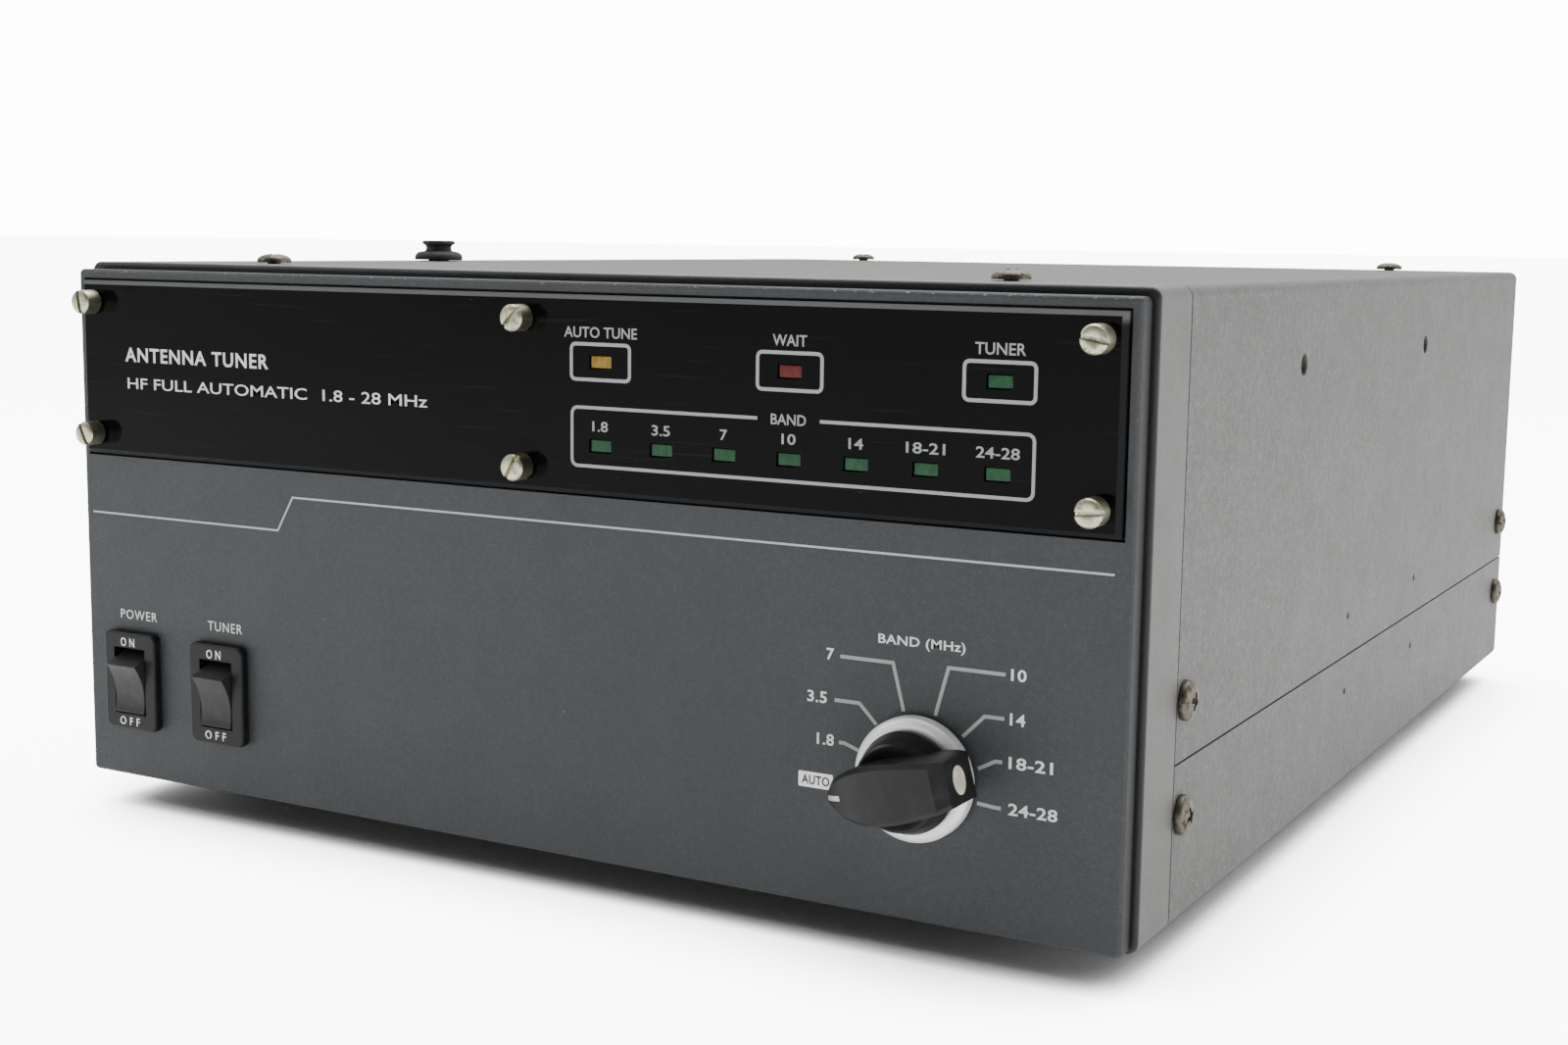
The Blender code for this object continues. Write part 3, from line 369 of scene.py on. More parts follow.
class Paint:
    """A node material: one Principled shader, and nodes added in front of it."""

    def __init__(self, name, colour, roughness, metallic=0.0, **fixed):
        self.material = bpy.data.materials.new(name)
        self.material.use_nodes = True
        self.tree = self.material.node_tree
        self.shader = self.tree.nodes["Principled BSDF"]
        self.shader.inputs["Base Color"].default_value = (*colour, 1)
        self.shader.inputs["Roughness"].default_value = roughness
        self.shader.inputs["Metallic"].default_value = metallic
        for socket, value in fixed.items():
            self.shader.inputs[socket.replace("_", " ")].default_value = value
        self.place = self.add("ShaderNodeTexCoord").outputs["Object"]

    def add(self, kind, settings=(), **inputs):
        node = self.tree.nodes.new(kind)
        for key, value in dict(settings).items():
            setattr(node, key, value)
        for key, value in inputs.items():
            self.put(node.inputs[key.replace("_", " ")], value)
        return node

    def put(self, socket, value):
        if isinstance(value, bpy.types.NodeSocket):
            self.tree.links.new(value, socket)
        else:
            socket.default_value = value

    def noise(self, size, detail=2.0, stretch=(1, 1, 1), rough=0.5, warp=0.0):
        """Noise with features of about this size in metres, from 0 to 1."""
        spread = self.add("ShaderNodeVectorMath", {"operation": "MULTIPLY"})
        self.put(spread.inputs[0], self.place)
        self.put(spread.inputs[1], stretch)
        node = self.add("ShaderNodeTexNoise", Vector=spread.outputs[0], Scale=1 / size, Detail=detail,
                        Roughness=rough, Distortion=warp)
        return node.outputs["Fac"]

    def dots(self, spacing, radius):
        """1 inside small round dots, one in each cell of this spacing, and 0 outside."""
        node = self.add("ShaderNodeTexVoronoi", Vector=self.place, Scale=1 / spacing)
        return self.between(node.outputs["Distance"], radius / spacing, 0.6 * radius / spacing)

    def between(self, value, start, end):
        """0 at start, 1 at end, smooth between them."""
        node = self.add("ShaderNodeMapRange", {"interpolation_type": "SMOOTHSTEP"}, Value=value,
                        From_Min=start, From_Max=end)
        if start > end:
            self.put(node.inputs["From Min"], end)
            self.put(node.inputs["From Max"], start)
            self.put(node.inputs["To Min"], 1.0)
            self.put(node.inputs["To Max"], 0.0)
        return node.outputs["Result"]

    def scaled(self, value, low, high):
        node = self.add("ShaderNodeMapRange", Value=value, To_Min=low, To_Max=high)
        return node.outputs["Result"]

    def maths(self, operation, first, second=0.0):
        node = self.add("ShaderNodeMath", {"operation": operation})
        self.put(node.inputs[0], first)
        self.put(node.inputs[1], second)
        return node.outputs[0]

    def mix(self, factor, first, second):
        """Colour first where the factor is 0, second where it is 1."""
        node = self.add("ShaderNodeMix", {"data_type": "RGBA"}, Factor=factor)
        for socket, value in ((node.inputs[6], first), (node.inputs[7], second)):
            self.put(socket, value if isinstance(value, bpy.types.NodeSocket) else (*value, 1))
        return node.outputs[2]

    def axis(self, index):
        split = self.add("ShaderNodeSeparateXYZ", Vector=self.place)
        return split.outputs[index]

    def colour(self, value):
        self.put(self.shader.inputs["Base Color"], value)

    def rough(self, value):
        self.put(self.shader.inputs["Roughness"], value)

    def bump(self, height, depth, strength=1.0):
        """Relief of this depth in metres; a second call adds to the first."""
        node = self.add("ShaderNodeBump", Height=height, Distance=depth, Strength=strength)
        earlier = self.shader.inputs["Normal"].links
        if earlier:
            self.put(node.inputs["Normal"], earlier[0].from_socket)
        self.put(self.shader.inputs["Normal"], node.outputs["Normal"])


def shades(colour, factor):
    return tuple(min(1.0, channel * factor) for channel in colour)


def rim(paint, low, high, margin):
    """1 at the edges of a panel seen from the front, falling to 0 at the margin inside them."""
    nearest = []
    for axis in (X, Z):
        place = paint.axis(axis)
        nearest.append(paint.maths("MINIMUM", paint.maths("SUBTRACT", place, low[axis]),
                                   paint.maths("SUBTRACT", high[axis], place)))
    return paint.between(paint.maths("MINIMUM", *nearest), margin, 0.0)


def textured_paint(name, colour, grain, depth, roughness, chips=None, spots=0.5, mottle=0.16, shine=0.35,
                   painted_shade_span=None):
    """Sprayed textured paint: speckled grain, cloudy shade, light specks, and chipped edges.

    Chips are (low, high, margin, amount) of the panel whose edges they are on. The pair of places
    along Y given for painted shade makes the paint near black from the second one on: painted shade for faces
    that lie in shadow.
    """
    paint = Paint(name, colour, roughness, Specular_IOR_Level=shine)
    fine = paint.noise(grain, 3.0, rough=0.65)
    coarse = paint.noise(3.4 * grain, 2.0, rough=0.6)
    cloud = paint.noise(55 * MM, 4.0, rough=0.6)
    tone = paint.mix(paint.between(fine, 0.36, 0.66), shades(colour, 1 - mottle), shades(colour, 1 + mottle))
    tone = paint.mix(paint.between(coarse, 0.30, 0.62), shades(colour, 1 - 0.8 * mottle), tone)
    cloudy = paint.maths("MULTIPLY", paint.between(cloud, 0.40, 0.75), 0.28)
    tone = paint.mix(cloudy, tone, shades(colour, 0.72))
    bare = paint.maths("MULTIPLY", paint.dots(6.0 * MM, 0.17 * MM),
                       paint.between(paint.noise(24 * MM, 1.0), spots, spots + 0.08))
    if chips:
        low, high, margin, amount = chips
        ragged = paint.between(paint.noise(1.4 * MM, 4.0, rough=0.75), amount + 0.05, amount)
        upper = paint.between(paint.axis(Z), high.z - 3 * margin, high.z - 2 * margin)
        edges = paint.maths("MULTIPLY", rim(paint, low, high, margin), paint.scaled(upper, 0.25, 1.0))
        bare = paint.maths("MAXIMUM", bare, paint.maths("MULTIPLY", edges, ragged))
    # painted shade: past the given span along Y the paint turns near black and loses its chips, standing for
    # faces in shadow
    if painted_shade_span:
        painted_shade_mask = paint.between(paint.axis(Y), *painted_shade_span)
        tone = paint.mix(painted_shade_mask, tone, (0.010, 0.010, 0.011))
        bare = paint.maths("MULTIPLY", bare, paint.maths("SUBTRACT", 1.0, painted_shade_mask))
    paint.colour(paint.mix(bare, tone, (0.42, 0.42, 0.40)))
    paint.rough(paint.scaled(paint.noise(9 * MM, 3.0), roughness - 0.07, roughness + 0.09))
    paint.bump(fine, depth)
    paint.bump(coarse, 0.9 * depth)
    return paint.material


def gloss_acrylic():
    """Polished dark acrylic: faint hair scratches, dust and smears, and a duller cut edge, painted lighter
    along the top as a highlight.
    """
    paint = Paint("smoked_acrylic", (0.003, 0.003, 0.0035), 0.08, Specular_IOR_Level=0.06)
    cut_edge = paint.between(rim(paint, PANE_LOW, PANE_HIGH, 1.0 * MM), 0.02, 0.12)
    hair = paint.between(paint.noise(0.9 * MM, 2.0, stretch=(0.04, 1, 1.6), rough=0.4, warp=0.3), 0.66, 0.74)
    dusty = paint.between(paint.noise(18 * MM, 2.0), 0.45, 0.62)
    dust = paint.maths("MULTIPLY", paint.dots(3.4 * MM, 0.07 * MM), dusty)
    smear = paint.between(paint.noise(26 * MM, 4.0, warp=1.2), 0.45, 0.75)
    face = paint.mix(paint.maths("MAXIMUM", dust, paint.maths("MULTIPLY", hair, 0.02)),
                     (0.003, 0.003, 0.0035), (0.30, 0.30, 0.30))
    # painted highlight: the chamfer along the top edge is painted light grey, the chamfers on the other edges
    # near black
    upper = paint.between(paint.axis(Z), PANE_HIGH.z - 2.5 * MM, PANE_HIGH.z - 0.8 * MM)
    edge_tone_with_painted_highlight = paint.mix(upper, (0.014, 0.014, 0.015), (0.12, 0.12, 0.12))
    paint.colour(paint.mix(cut_edge, face, edge_tone_with_painted_highlight))
    gloss = paint.maths("ADD", paint.scaled(smear, 0.06, 0.16), paint.maths("MULTIPLY", hair, 0.06))
    paint.rough(paint.maths("ADD", gloss, paint.maths("MULTIPLY", cut_edge, 0.4)))
    paint.bump(paint.noise(60 * MM, 1.0), 0.05 * MM, 0.4)
    return paint.material


def moulded_plastic(name, colour, roughness):
    """Satin moulded plastic: fine spark-eroded grain, polished and scuffed in patches."""
    paint = Paint(name, colour, roughness, Specular_IOR_Level=0.22)
    scuff = paint.noise(4 * MM, 4.0, warp=0.6)
    paint.colour(paint.mix(paint.between(scuff, 0.42, 0.8), colour, shades(colour, 1.8)))
    paint.rough(paint.scaled(scuff, roughness - 0.12, roughness + 0.14))
    paint.bump(paint.noise(0.25 * MM, 2.0), 0.01 * MM)
    return paint.material


def plated_metal(name, colour, stain, roughness, age, size=1.2 * MM):
    """Plating that has gone dull and stained in patches of this size; age from 0, new, to 1."""
    paint = Paint(name, colour, roughness, 1.0)
    patch = paint.between(paint.noise(size, 5.0, rough=0.65, warp=0.8), 0.62 - 0.25 * age, 0.80 - 0.20 * age)
    paint.colour(paint.mix(patch, colour, stain))
    paint.rough(paint.scaled(patch, roughness, roughness + 0.25))
    paint.bump(paint.noise(0.5 * size, 3.0), 0.02 * MM)
    return paint.material


def spun_aluminium(name, centre):
    """Turned aluminium: concentric tool marks about an axis along Y through the centre."""
    paint = Paint(name, (1.0, 1.0, 1.0), 0.24, 0.35)
    shift = paint.add("ShaderNodeVectorMath", {"operation": "SUBTRACT"})
    paint.put(shift.inputs[0], paint.place)
    paint.put(shift.inputs[1], centre)
    flat = paint.add("ShaderNodeVectorMath", {"operation": "MULTIPLY"})
    paint.put(flat.inputs[0], shift.outputs[0])
    paint.put(flat.inputs[1], (1, 0, 1))
    reach = paint.add("ShaderNodeVectorMath", {"operation": "LENGTH"})
    paint.put(reach.inputs[0], flat.outputs[0])
    groove = paint.add("ShaderNodeTexNoise", {"noise_dimensions": "1D"}, W=reach.outputs["Value"],
                       Scale=4500.0, Detail=2.0).outputs["Fac"]
    paint.bump(groove, 0.006 * MM)
    paint.rough(paint.scaled(groove, 0.34, 0.52))
    dull = paint.between(paint.noise(2 * MM, 3.0), 0.5, 0.9)
    paint.colour(paint.mix(dull, (1.0, 1.0, 1.0), (0.86, 0.86, 0.86)))
    return paint.material


def brushed_sheet(name, colour, roughness, metallic=1.0):
    """Sheet metal with a fine grain along X, dulled in patches."""
    paint = Paint(name, colour, roughness, metallic)
    grain = paint.noise(0.5 * MM, 3.0, stretch=(0.03, 1, 1))
    cloud = paint.noise(25 * MM, 4.0, warp=0.8)
    paint.colour(paint.mix(paint.between(cloud, 0.4, 0.75), colour, shades(colour, 0.8)))
    paint.rough(paint.maths("ADD", paint.scaled(grain, roughness - 0.08, roughness + 0.08),
                            paint.scaled(cloud, 0.0, 0.1)))
    paint.bump(grain, 0.01 * MM)
    return paint.material


def ink(name, colour, under, wear):
    """Screen printing, rubbed through to the surface under it; wear from 0 to 1."""
    paint = Paint(name, colour, 0.5)
    rubbed = paint.between(paint.noise(0.7 * MM, 4.0, rough=0.7), 0.34 * wear + 0.14, 0.34 * wear + 0.10)
    paint.colour(paint.mix(rubbed, colour, under))
    paint.bump(paint.noise(0.2 * MM, 2.0), 0.004 * MM)
    return paint.material


def lens_with_painted_glow(name, colour, glow):
    """Tinted lens with ribs inside it, with a faint painted glow: it emits light in its own tone, standing in
    for light coming through it.
    """
    paint = Paint(name, colour, 0.3, Specular_IOR_Level=0.3)
    ribs = paint.noise(0.9 * MM, 2.0, stretch=(1.0, 1, 0.5))
    tone = paint.mix(paint.between(ribs, 0.3, 0.7), shades(colour, 0.55), colour)
    paint.colour(tone)
    # painted glow: the lens emits its own tone at a fixed strength
    paint.put(paint.shader.inputs["Emission Color"], tone)
    paint.shader.inputs["Emission Strength"].default_value = glow
    paint.bump(ribs, 0.05 * MM)
    return paint.material


def dull_rubber():
    """Black rubber, dusty in patches."""
    paint = Paint("black_rubber", (0.022, 0.022, 0.023), 0.72)
    dust = paint.noise(6 * MM, 4.0)
    paint.colour(paint.mix(paint.between(dust, 0.5, 0.85), (0.022, 0.022, 0.023), (0.10, 0.10, 0.095)))
    paint.bump(paint.noise(0.4 * MM, 3.0), 0.02 * MM)
    return paint.material


def circuit_board():
    """Green board with faint tracks."""
    paint = Paint("circuit_board", (0.02, 0.13, 0.05), 0.4)
    tracks = paint.between(paint.noise(1.5 * MM, 0.0, stretch=(0.25, 1, 1)), 0.54, 0.57)
    paint.colour(paint.mix(tracks, (0.02, 0.13, 0.05), (0.05, 0.24, 0.10)))
    paint.bump(tracks, 0.03 * MM)
    return paint.material


CHARCOAL = (0.046, 0.051, 0.055)
CASE_GREY = (0.108, 0.106, 0.101)
WARM_WHITE = (0.80, 0.78, 0.72)
BLACK = (0.009, 0.009, 0.010)
NICKEL = (0.54, 0.54, 0.41)
NICKEL_STAIN = (0.26, 0.23, 0.12)
SHEET_GREY = (0.46, 0.46, 0.455)

# painted shade: the plate's flanks behind its face are painted near black, as if in shadow
plate_paint = textured_paint("charcoal_paint", CHARCOAL, 0.34 * MM, 0.04 * MM, 0.52,
                             chips=(PLATE_LOW, PLATE_HIGH, 0.7 * MM, 0.35), spots=0.58,
                             painted_shade_span=(FRONT + 0.15 * MM, FRONT + 0.75 * MM))
# painted shade: the bezel's front face is painted near black, as if in shadow; its sides keep the case grey
bezel_paint = textured_paint("bezel_paint", CASE_GREY, 0.40 * MM, 0.06 * MM, 0.5, spots=0.70, shine=0.4,
                             painted_shade_span=(BEZEL_LOW.y + 1.1 * MM, BEZEL_LOW.y + 0.6 * MM))
case_paint = textured_paint("case_paint", CASE_GREY, 0.50 * MM, 0.12 * MM, 0.50, spots=0.70, mottle=0.36,
                            shine=0.3)
acrylic = gloss_acrylic()
switch_plastic = moulded_plastic("switch_plastic", BLACK, 0.40)
knob_plastic = moulded_plastic("knob_plastic", (0.013, 0.013, 0.014), 0.34)
rocker_plastic = moulded_plastic("rocker_plastic", (0.028, 0.028, 0.029), 0.36)
cream = moulded_plastic("cream_inlay", (0.62, 0.58, 0.44), 0.4)
pointer_paint = moulded_plastic("pointer_paint", (0.42, 0.40, 0.33), 0.45)
window_nickel = plated_metal("window_screw_nickel", NICKEL, NICKEL_STAIN, 0.34, 0.55)
case_screw_nickel = plated_metal("case_screw_nickel", (0.125, 0.115, 0.090), (0.045, 0.038, 0.028), 0.42, 0.6)
connector_nickel = plated_metal("connector_nickel", (0.46, 0.445, 0.40), (0.24, 0.21, 0.16), 0.28, 0.35,
                                3 * MM)
bright_steel = brushed_sheet("plated_steel", (0.58, 0.58, 0.56), 0.36)
sheet_aluminium = brushed_sheet("sheet_aluminium", SHEET_GREY, 0.36)
rear_aluminium = brushed_sheet("rear_aluminium", (0.34, 0.34, 0.335), 0.42, 0.6)
skirt_metal = spun_aluminium("skirt_metal", (KNOB.x, 0, KNOB.z))
brass = plated_metal("turned_brass", (0.46, 0.32, 0.12), (0.22, 0.14, 0.06), 0.3, 0.35, 3 * MM)
rubber = dull_rubber()
board = circuit_board()
ceramic = moulded_plastic("ceramic_former", (0.72, 0.70, 0.62), 0.45)
insulator = moulded_plastic("insulator", (0.52, 0.50, 0.45), 0.42)
panel_ink = ink("panel_ink", (0.50, 0.50, 0.47), CHARCOAL, 0.15)
leader_ink = ink("leader_ink", (0.33, 0.33, 0.32), CHARCOAL, 0.1)
label_ink = ink("label_ink", (0.80, 0.80, 0.77), CHARCOAL, 0.1)
patch_ink = ink("patch_ink", (1.0, 1.0, 0.97), CHARCOAL, 0.02)
window_ink = ink("window_ink", (0.34, 0.345, 0.345), BLACK, 0.12)
title_ink = ink("title_ink", (0.74, 0.74, 0.73), BLACK, 0.1)
switch_ink = ink("switch_ink", (0.95, 0.95, 0.92), BLACK, 0.75)
dark_ink = ink("dark_ink", (0.02, 0.02, 0.02), WARM_WHITE, 0.05)
dark_print = ink("dark_print", (0.02, 0.02, 0.02), SHEET_GREY, 0.05)


# ---------------------------------------------------------------- printing

def stripe(name, path, width, material, surface, closed=False):
    """A printed line on a face towards -Y, along a path of (x, z) points."""
    places = [Vector(point) for point in path]
    count = len(places)
    rails = []
    for index, place in enumerate(places):
        before = places[index - 1] if index or closed else None
        after = places[(index + 1) % count] if index < count - 1 or closed else None
        directions = []
        if before is not None:
            directions.append((place - before).normalized())
        if after is not None:
            directions.append((after - place).normalized())
        normals = [Vector((-way.y, way.x)) for way in directions]
        mitre = (normals[0] + normals[-1]).normalized()
        rails.append(mitre * (width / 2 / max(0.3, mitre.dot(normals[0]))))
    shape = bmesh.new()
    rings = []
    for place, rail in zip(places, rails):
        ring = [(place + rail, surface), (place - rail, surface),
                (place - rail, surface - INK_HEIGHT), (place + rail, surface - INK_HEIGHT)]
        rings.append([shape.verts.new((spot.x, depth, spot.y)) for spot, depth in ring])
    pairs = list(zip(rings, rings[1:])) + ([(rings[-1], rings[0])] if closed else [])
    for near, far in pairs:
        for index in range(4):
            following = (index + 1) % 4
            shape.faces.new((near[index], near[following], far[following], far[index]))
    if not closed:
        shape.faces.new(rings[0])
        shape.faces.new(rings[-1])
    bmesh.ops.recalc_face_normals(shape, faces=shape.faces)
    build(name, material, [shape])


def lettering(name, words, centre, size, material, surface, weight=0.0, spacing=1.0, back=False):
    """Printed words of this size (width, height) about centre (x, z), facing -Y, or +Y if back."""
    curve = bpy.data.curves.new(name, "FONT")
    curve.body = words
    curve.size = 1.0
    curve.offset = weight
    curve.space_character = spacing
    curve.resolution_u = 3
    curve.extrude = 0.5
    text = bpy.data.objects.new(name + "_text", curve)
    bpy.context.scene.collection.objects.link(text)
    bpy.context.view_layer.update()
    mesh = bpy.data.meshes.new_from_object(text.evaluated_get(bpy.context.evaluated_depsgraph_get()))
    bpy.data.objects.remove(text, do_unlink=True)
    bpy.data.curves.remove(curve)
    low = Vector([min(vert.co[axis] for vert in mesh.vertices) for axis in range(3)])
    high = Vector([max(vert.co[axis] for vert in mesh.vertices) for axis in range(3)])
    span = high - low
    facing = 1 if back else -1
    for vert in mesh.vertices:
        across, up, out = vert.co - (low + high) / 2
        vert.co = (centre[0] - facing * across / span.x * size[0],
                   FRONT + surface + facing * (out + 0.5) * INK_HEIGHT,
                   centre[1] + up / span.y * size[1])
    mesh.name = name
    attach(link(name, mesh, material))


# ---------------------------------------------------------------- front

def round_front_edges(shape, width, steps, limit):
    """Rounds the edges that lie wholly in front of the limit."""
    edges = [edge for edge in shape.edges if all(vert.co.y < limit for vert in edge.verts)]
    bmesh.ops.bevel(shape, geom=edges, offset=width, segments=steps, profile=0.5, affect="EDGES")
    return shape


def make_front_plate():
    outline = rectangle((PLATE_LOW.x, PLATE_LOW.z), (PLATE_HIGH.x, PLATE_HIGH.z), 1.0 * MM, 4)
    plate = round_front_edges(prism(outline, Y, 0, PLATE_BACK), 0.9 * MM, 4, 0.1 * MM)
    groove = 0.45 * MM
    through = PLATE_BACK + CLEAR
    cuts = [box((PANE_LOW.x - groove, -CLEAR, PANE_LOW.z - groove),
                (PANE_HIGH.x + groove, PANE_BACK + GAP, PANE_HIGH.z + groove))]
    cuts += lens_holes(PANE_BACK, through, 0.4 * MM)
    cuts += window_screw_holes(0, through)
    for switch in SWITCHES:
        centre = middle(f"{switch}_switch_body")
        cuts.append(block((centre.x, centre.z), mm(6.9, 9.9), -CLEAR, through))
    cuts.append(rod(Y, (KNOB.x, KNOB.z), 3.6 * MM, -CLEAR, through))
    stand_in("front_plate", plate_paint, [plate], cuts, bevel=0.12 * MM)


def make_front_bezel():
    start, end = depths("front_bezel")
    outline = rectangle((BEZEL_LOW.x, BEZEL_LOW.z), (BEZEL_HIGH.x, BEZEL_HIGH.z), 2.0 * MM, 8)
    outside = round_front_edges(prism(outline, Y, start, end), 0.8 * MM, 4, start + 0.1 * MM)
    wall = 6.0 * MM
    opening = box((BEZEL_LOW.x + wall, start - CLEAR, BEZEL_LOW.z + wall),
                  (BEZEL_HIGH.x - wall, end + CLEAR, BEZEL_HIGH.z - wall))
    stand_in("front_bezel", bezel_paint, [outside], [opening], bevel=0.15 * MM)


def make_window():
    pane = box((PANE_LOW.x, PANE_FRONT, PANE_LOW.z), (PANE_HIGH.x, PANE_BACK, PANE_HIGH.z))
    round_front_edges(pane, 0.9 * MM, 1, PANE_FRONT + 0.1 * MM)
    start, end = PANE_FRONT - CLEAR, PANE_BACK + CLEAR
    cuts = lens_holes(start, end, 0) + window_screw_holes(start, end)
    stand_in("window_panel", acrylic, [pane], cuts, bevel=0.06 * MM, steps=1)
    radius = 2.5 * MM
    seat = PANE_FRONT - GAP
    for number, node in enumerate(WINDOW_SCREWS, 1):
        face, end = depths(node)
        profile = [(0, face), (radius - 0.9 * MM, face), (radius - 0.3 * MM, face + 0.12 * MM),
                   (radius, face + 0.5 * MM), (radius, seat - 0.25 * MM), (radius - 0.2 * MM, seat),
                   (SCREW_SHANK, seat), (SCREW_SHANK, end), (0, end)]
        slot = block((0, 0), mm(3, 0.4), face - CLEAR, face + 1.2 * MM)
        stand_in(node, window_nickel, [turned(profile, Y, (0, 0), 40)], [slot], bevel=0.1 * MM,
                 at=centred(node), turn=(0, math.radians(25 + 55 * number), 0))


def make_lamps():
    """Each light block: a dark bar behind the plate, and its lenses reaching into the window."""
    # each lens's tint and the strength of its painted glow
    tints_and_painted_glow = {"amber": ((0.34, 0.22, 0.02), 0.07), "red": ((0.14, 0.012, 0.010), 0.03),
               "green": ((0.006, 0.080, 0.024), 0.05)}
    lenses = {name: lens_with_painted_glow(f"lens_{name}", *value) for name, value in tints_and_painted_glow.items()}
    half = (LENS_SIZE[0] / 2 - GAP / 2, LENS_SIZE[1] / 2 - GAP / 2)
    front, step = PANE_FRONT + LENS_RECESS, PLATE_BACK + GAP
    for node, z, places, names in (("status_light_block", STATUS_Z, STATUS_X, ("amber", "red", "green")),
                                   ("band_light_block", BAND_Z, BAND_X, ("green",) * 7)):
        bar = box((places[0] - 5 * MM, step, z - 3 * MM), (places[-1] + 5 * MM, depths(node)[1], z + 3 * MM))
        build(f"{node}_bar", switch_plastic, [bar], bevel=0.3 * MM, stands_for=[node])
        for number, (x, name) in enumerate(zip(places, names), 1):
            lens = block((x, z), half, front, step - 0.05 * MM)
            build(f"{node}_lens_{number}", lenses[name], [lens], bevel=0.15 * MM, slot="indicator_lens")


def make_window_print():
    surface = PANE_FRONT
    for x, words, width in zip(STATUS_X, ("AUTO TUNE", "WAIT", "TUNER"), (16.0, 6.8, 9.1)):
        name = words.lower().replace(" ", "_")
        lettering(f"{name}_window_label", words, (x, STATUS_Z + 5.4 * MM), mm(width, 2.0), window_ink,
                  surface, weight=0.01)
        across, up = mm(6.4, 3.25)
        outline = rectangle((x - across, STATUS_Z - up), (x + across, STATUS_Z + up), 0.9 * MM, 4)
        stripe(f"{name}_outline", outline, 0.65 * MM, window_ink, surface, closed=True)
    high = BAND_Z + 7.0 * MM
    outline = rectangle((9.9 * MM, BAND_Z - 3.8 * MM), (101.8 * MM, high), 1.2 * MM, 4)
    gap = mm(49.4, 61.9)
    upper_corner = 15
    path = [(gap[0], high)] + outline[upper_corner:] + outline[:upper_corner] + [(gap[1], high)]
    stripe("band_outline", path, 0.6 * MM, window_ink, surface)
    lettering("band_window_label", "BAND", (sum(gap) / 2, high), mm(7.0, 1.9), window_ink, surface,
              weight=0.01)
    for x, words, width in zip(BAND_X, BAND_NAMES, (3.4, 3.9, 1.5, 2.8, 2.8, 7.3, 7.9)):
        lettering(f"window_band_{words}", words, (x, BAND_Z + 3.6 * MM), mm(width, 1.9), window_ink, surface,
                  weight=0.012)
    lettering("window_title", "ANTENNA TUNER", mm(-84.5, 99.3), mm(40, 3.0), title_ink, surface, weight=0.02,
              spacing=1.12)
    lettering("window_subtitle", "HF FULL AUTOMATIC  1.8 - 28 MHz", mm(-64.0, 93.3), mm(80, 2.3), title_ink,
              surface, weight=0.004)


def make_plate_print():
    surface = 0.0
    for words, place, width in (("POWER", (-104.05, 43.3), 10.7), ("TUNER", (-79.2, 43.2), 9.6)):
        lettering(f"{words.lower()}_label", words, mm(*place), mm(width, 2.0), label_ink, surface,
                  spacing=1.14)
    level, step = mm(64.95, 72.0)
    line = [(-116.8 * MM, level), (-64.0 * MM, level), (-59.9 * MM, step), (115.9 * MM, step)]
    stripe("panel_line", line, 0.38 * MM, panel_ink, surface)
    lettering("band_label", "BAND (MHz)", mm(81.6, 56.9), mm(16.5, 2.2), label_ink, surface, weight=0.014,
              spacing=1.05)
    labels = (("7", 64.0, 53.3, 1.5), ("3.5", 61.5, 45.4, 3.9), ("1.8", 63.3, 37.9, 3.4),
              ("10", 99.7, 53.5, 2.8), ("14", 99.7, 45.9, 2.8), ("18-21", 102.3, 38.4, 8.0),
              ("24-28", 102.9, 30.4, 8.9))
    for words, x, z, width in labels:
        lettering(f"dial_{words}", words, mm(x, z), mm(width, 2.1), label_ink, surface, weight=0.018,
                  spacing=1.04)
    patch = prism(rectangle(mm(58.0, 28.8), mm(64.9, 31.6), 0.2 * MM, 2), Y, surface - INK_HEIGHT, surface)
    build("auto_patch", patch_ink, [patch])
    lettering("dial_auto", "AUTO", mm(61.45, 30.2), mm(5.6, 1.7), dark_ink, surface - INK_HEIGHT,
              weight=0.022, spacing=1.05)
    make_leaders(surface)


def make_leaders(surface):
    """Lines from the knob to its labels, each with one bend."""
    leaders = ((165, 37.7, 66.0), (135, 45.2, 65.0), (105, 53.1, 66.0), (75, 53.4, 97.3), (45, 45.8, 97.3),
               (15, 38.3, 97.1), (-15, 30.3, 97.1))
    reach = 11.6 * MM
    short_lean = 3.2 * MM
    for angle, z, end in leaders:
        way = math.radians(angle)
        near = (KNOB.x + reach * math.cos(way), KNOB.z + reach * math.sin(way))
        rise = z * MM - near[1]
        steep = abs(math.sin(way)) > 0.5
        lean = rise / math.tan(way) if steep else math.copysign(short_lean, math.cos(way))
        stripe(f"leader_{angle % 360}", [near, (near[0] + lean, z * MM), mm(end, z)], 0.65 * MM, leader_ink,
               surface)


def rocker_outline(half, reach):
    """Side view about the pivot as (depth, height): a hollow between two crests, each on a round skirt."""
    crest = half / math.cos(ROCKER_TILT) - reach * math.tan(ROCKER_TILT)
    skirt = half + 0.15 * MM
    upper = [(-skirt * math.cos(angle), skirt * math.sin(angle))
             for angle in [math.radians(degrees) for degrees in (100, 91, 82, 73, 64)]]
    upper.append((-reach, crest))
    outline = points((3.2, -3.0), (3.2, 3.0)) + upper
    steps = 14
    hollow = 1.25 * MM
    for step in range(1, steps):
        share = 1 - 2 * step / steps
        outline.append((-reach + hollow * (1 - share * share), crest * share))
    outline += [(depth, -height) for depth, height in reversed(upper)]
    return outline


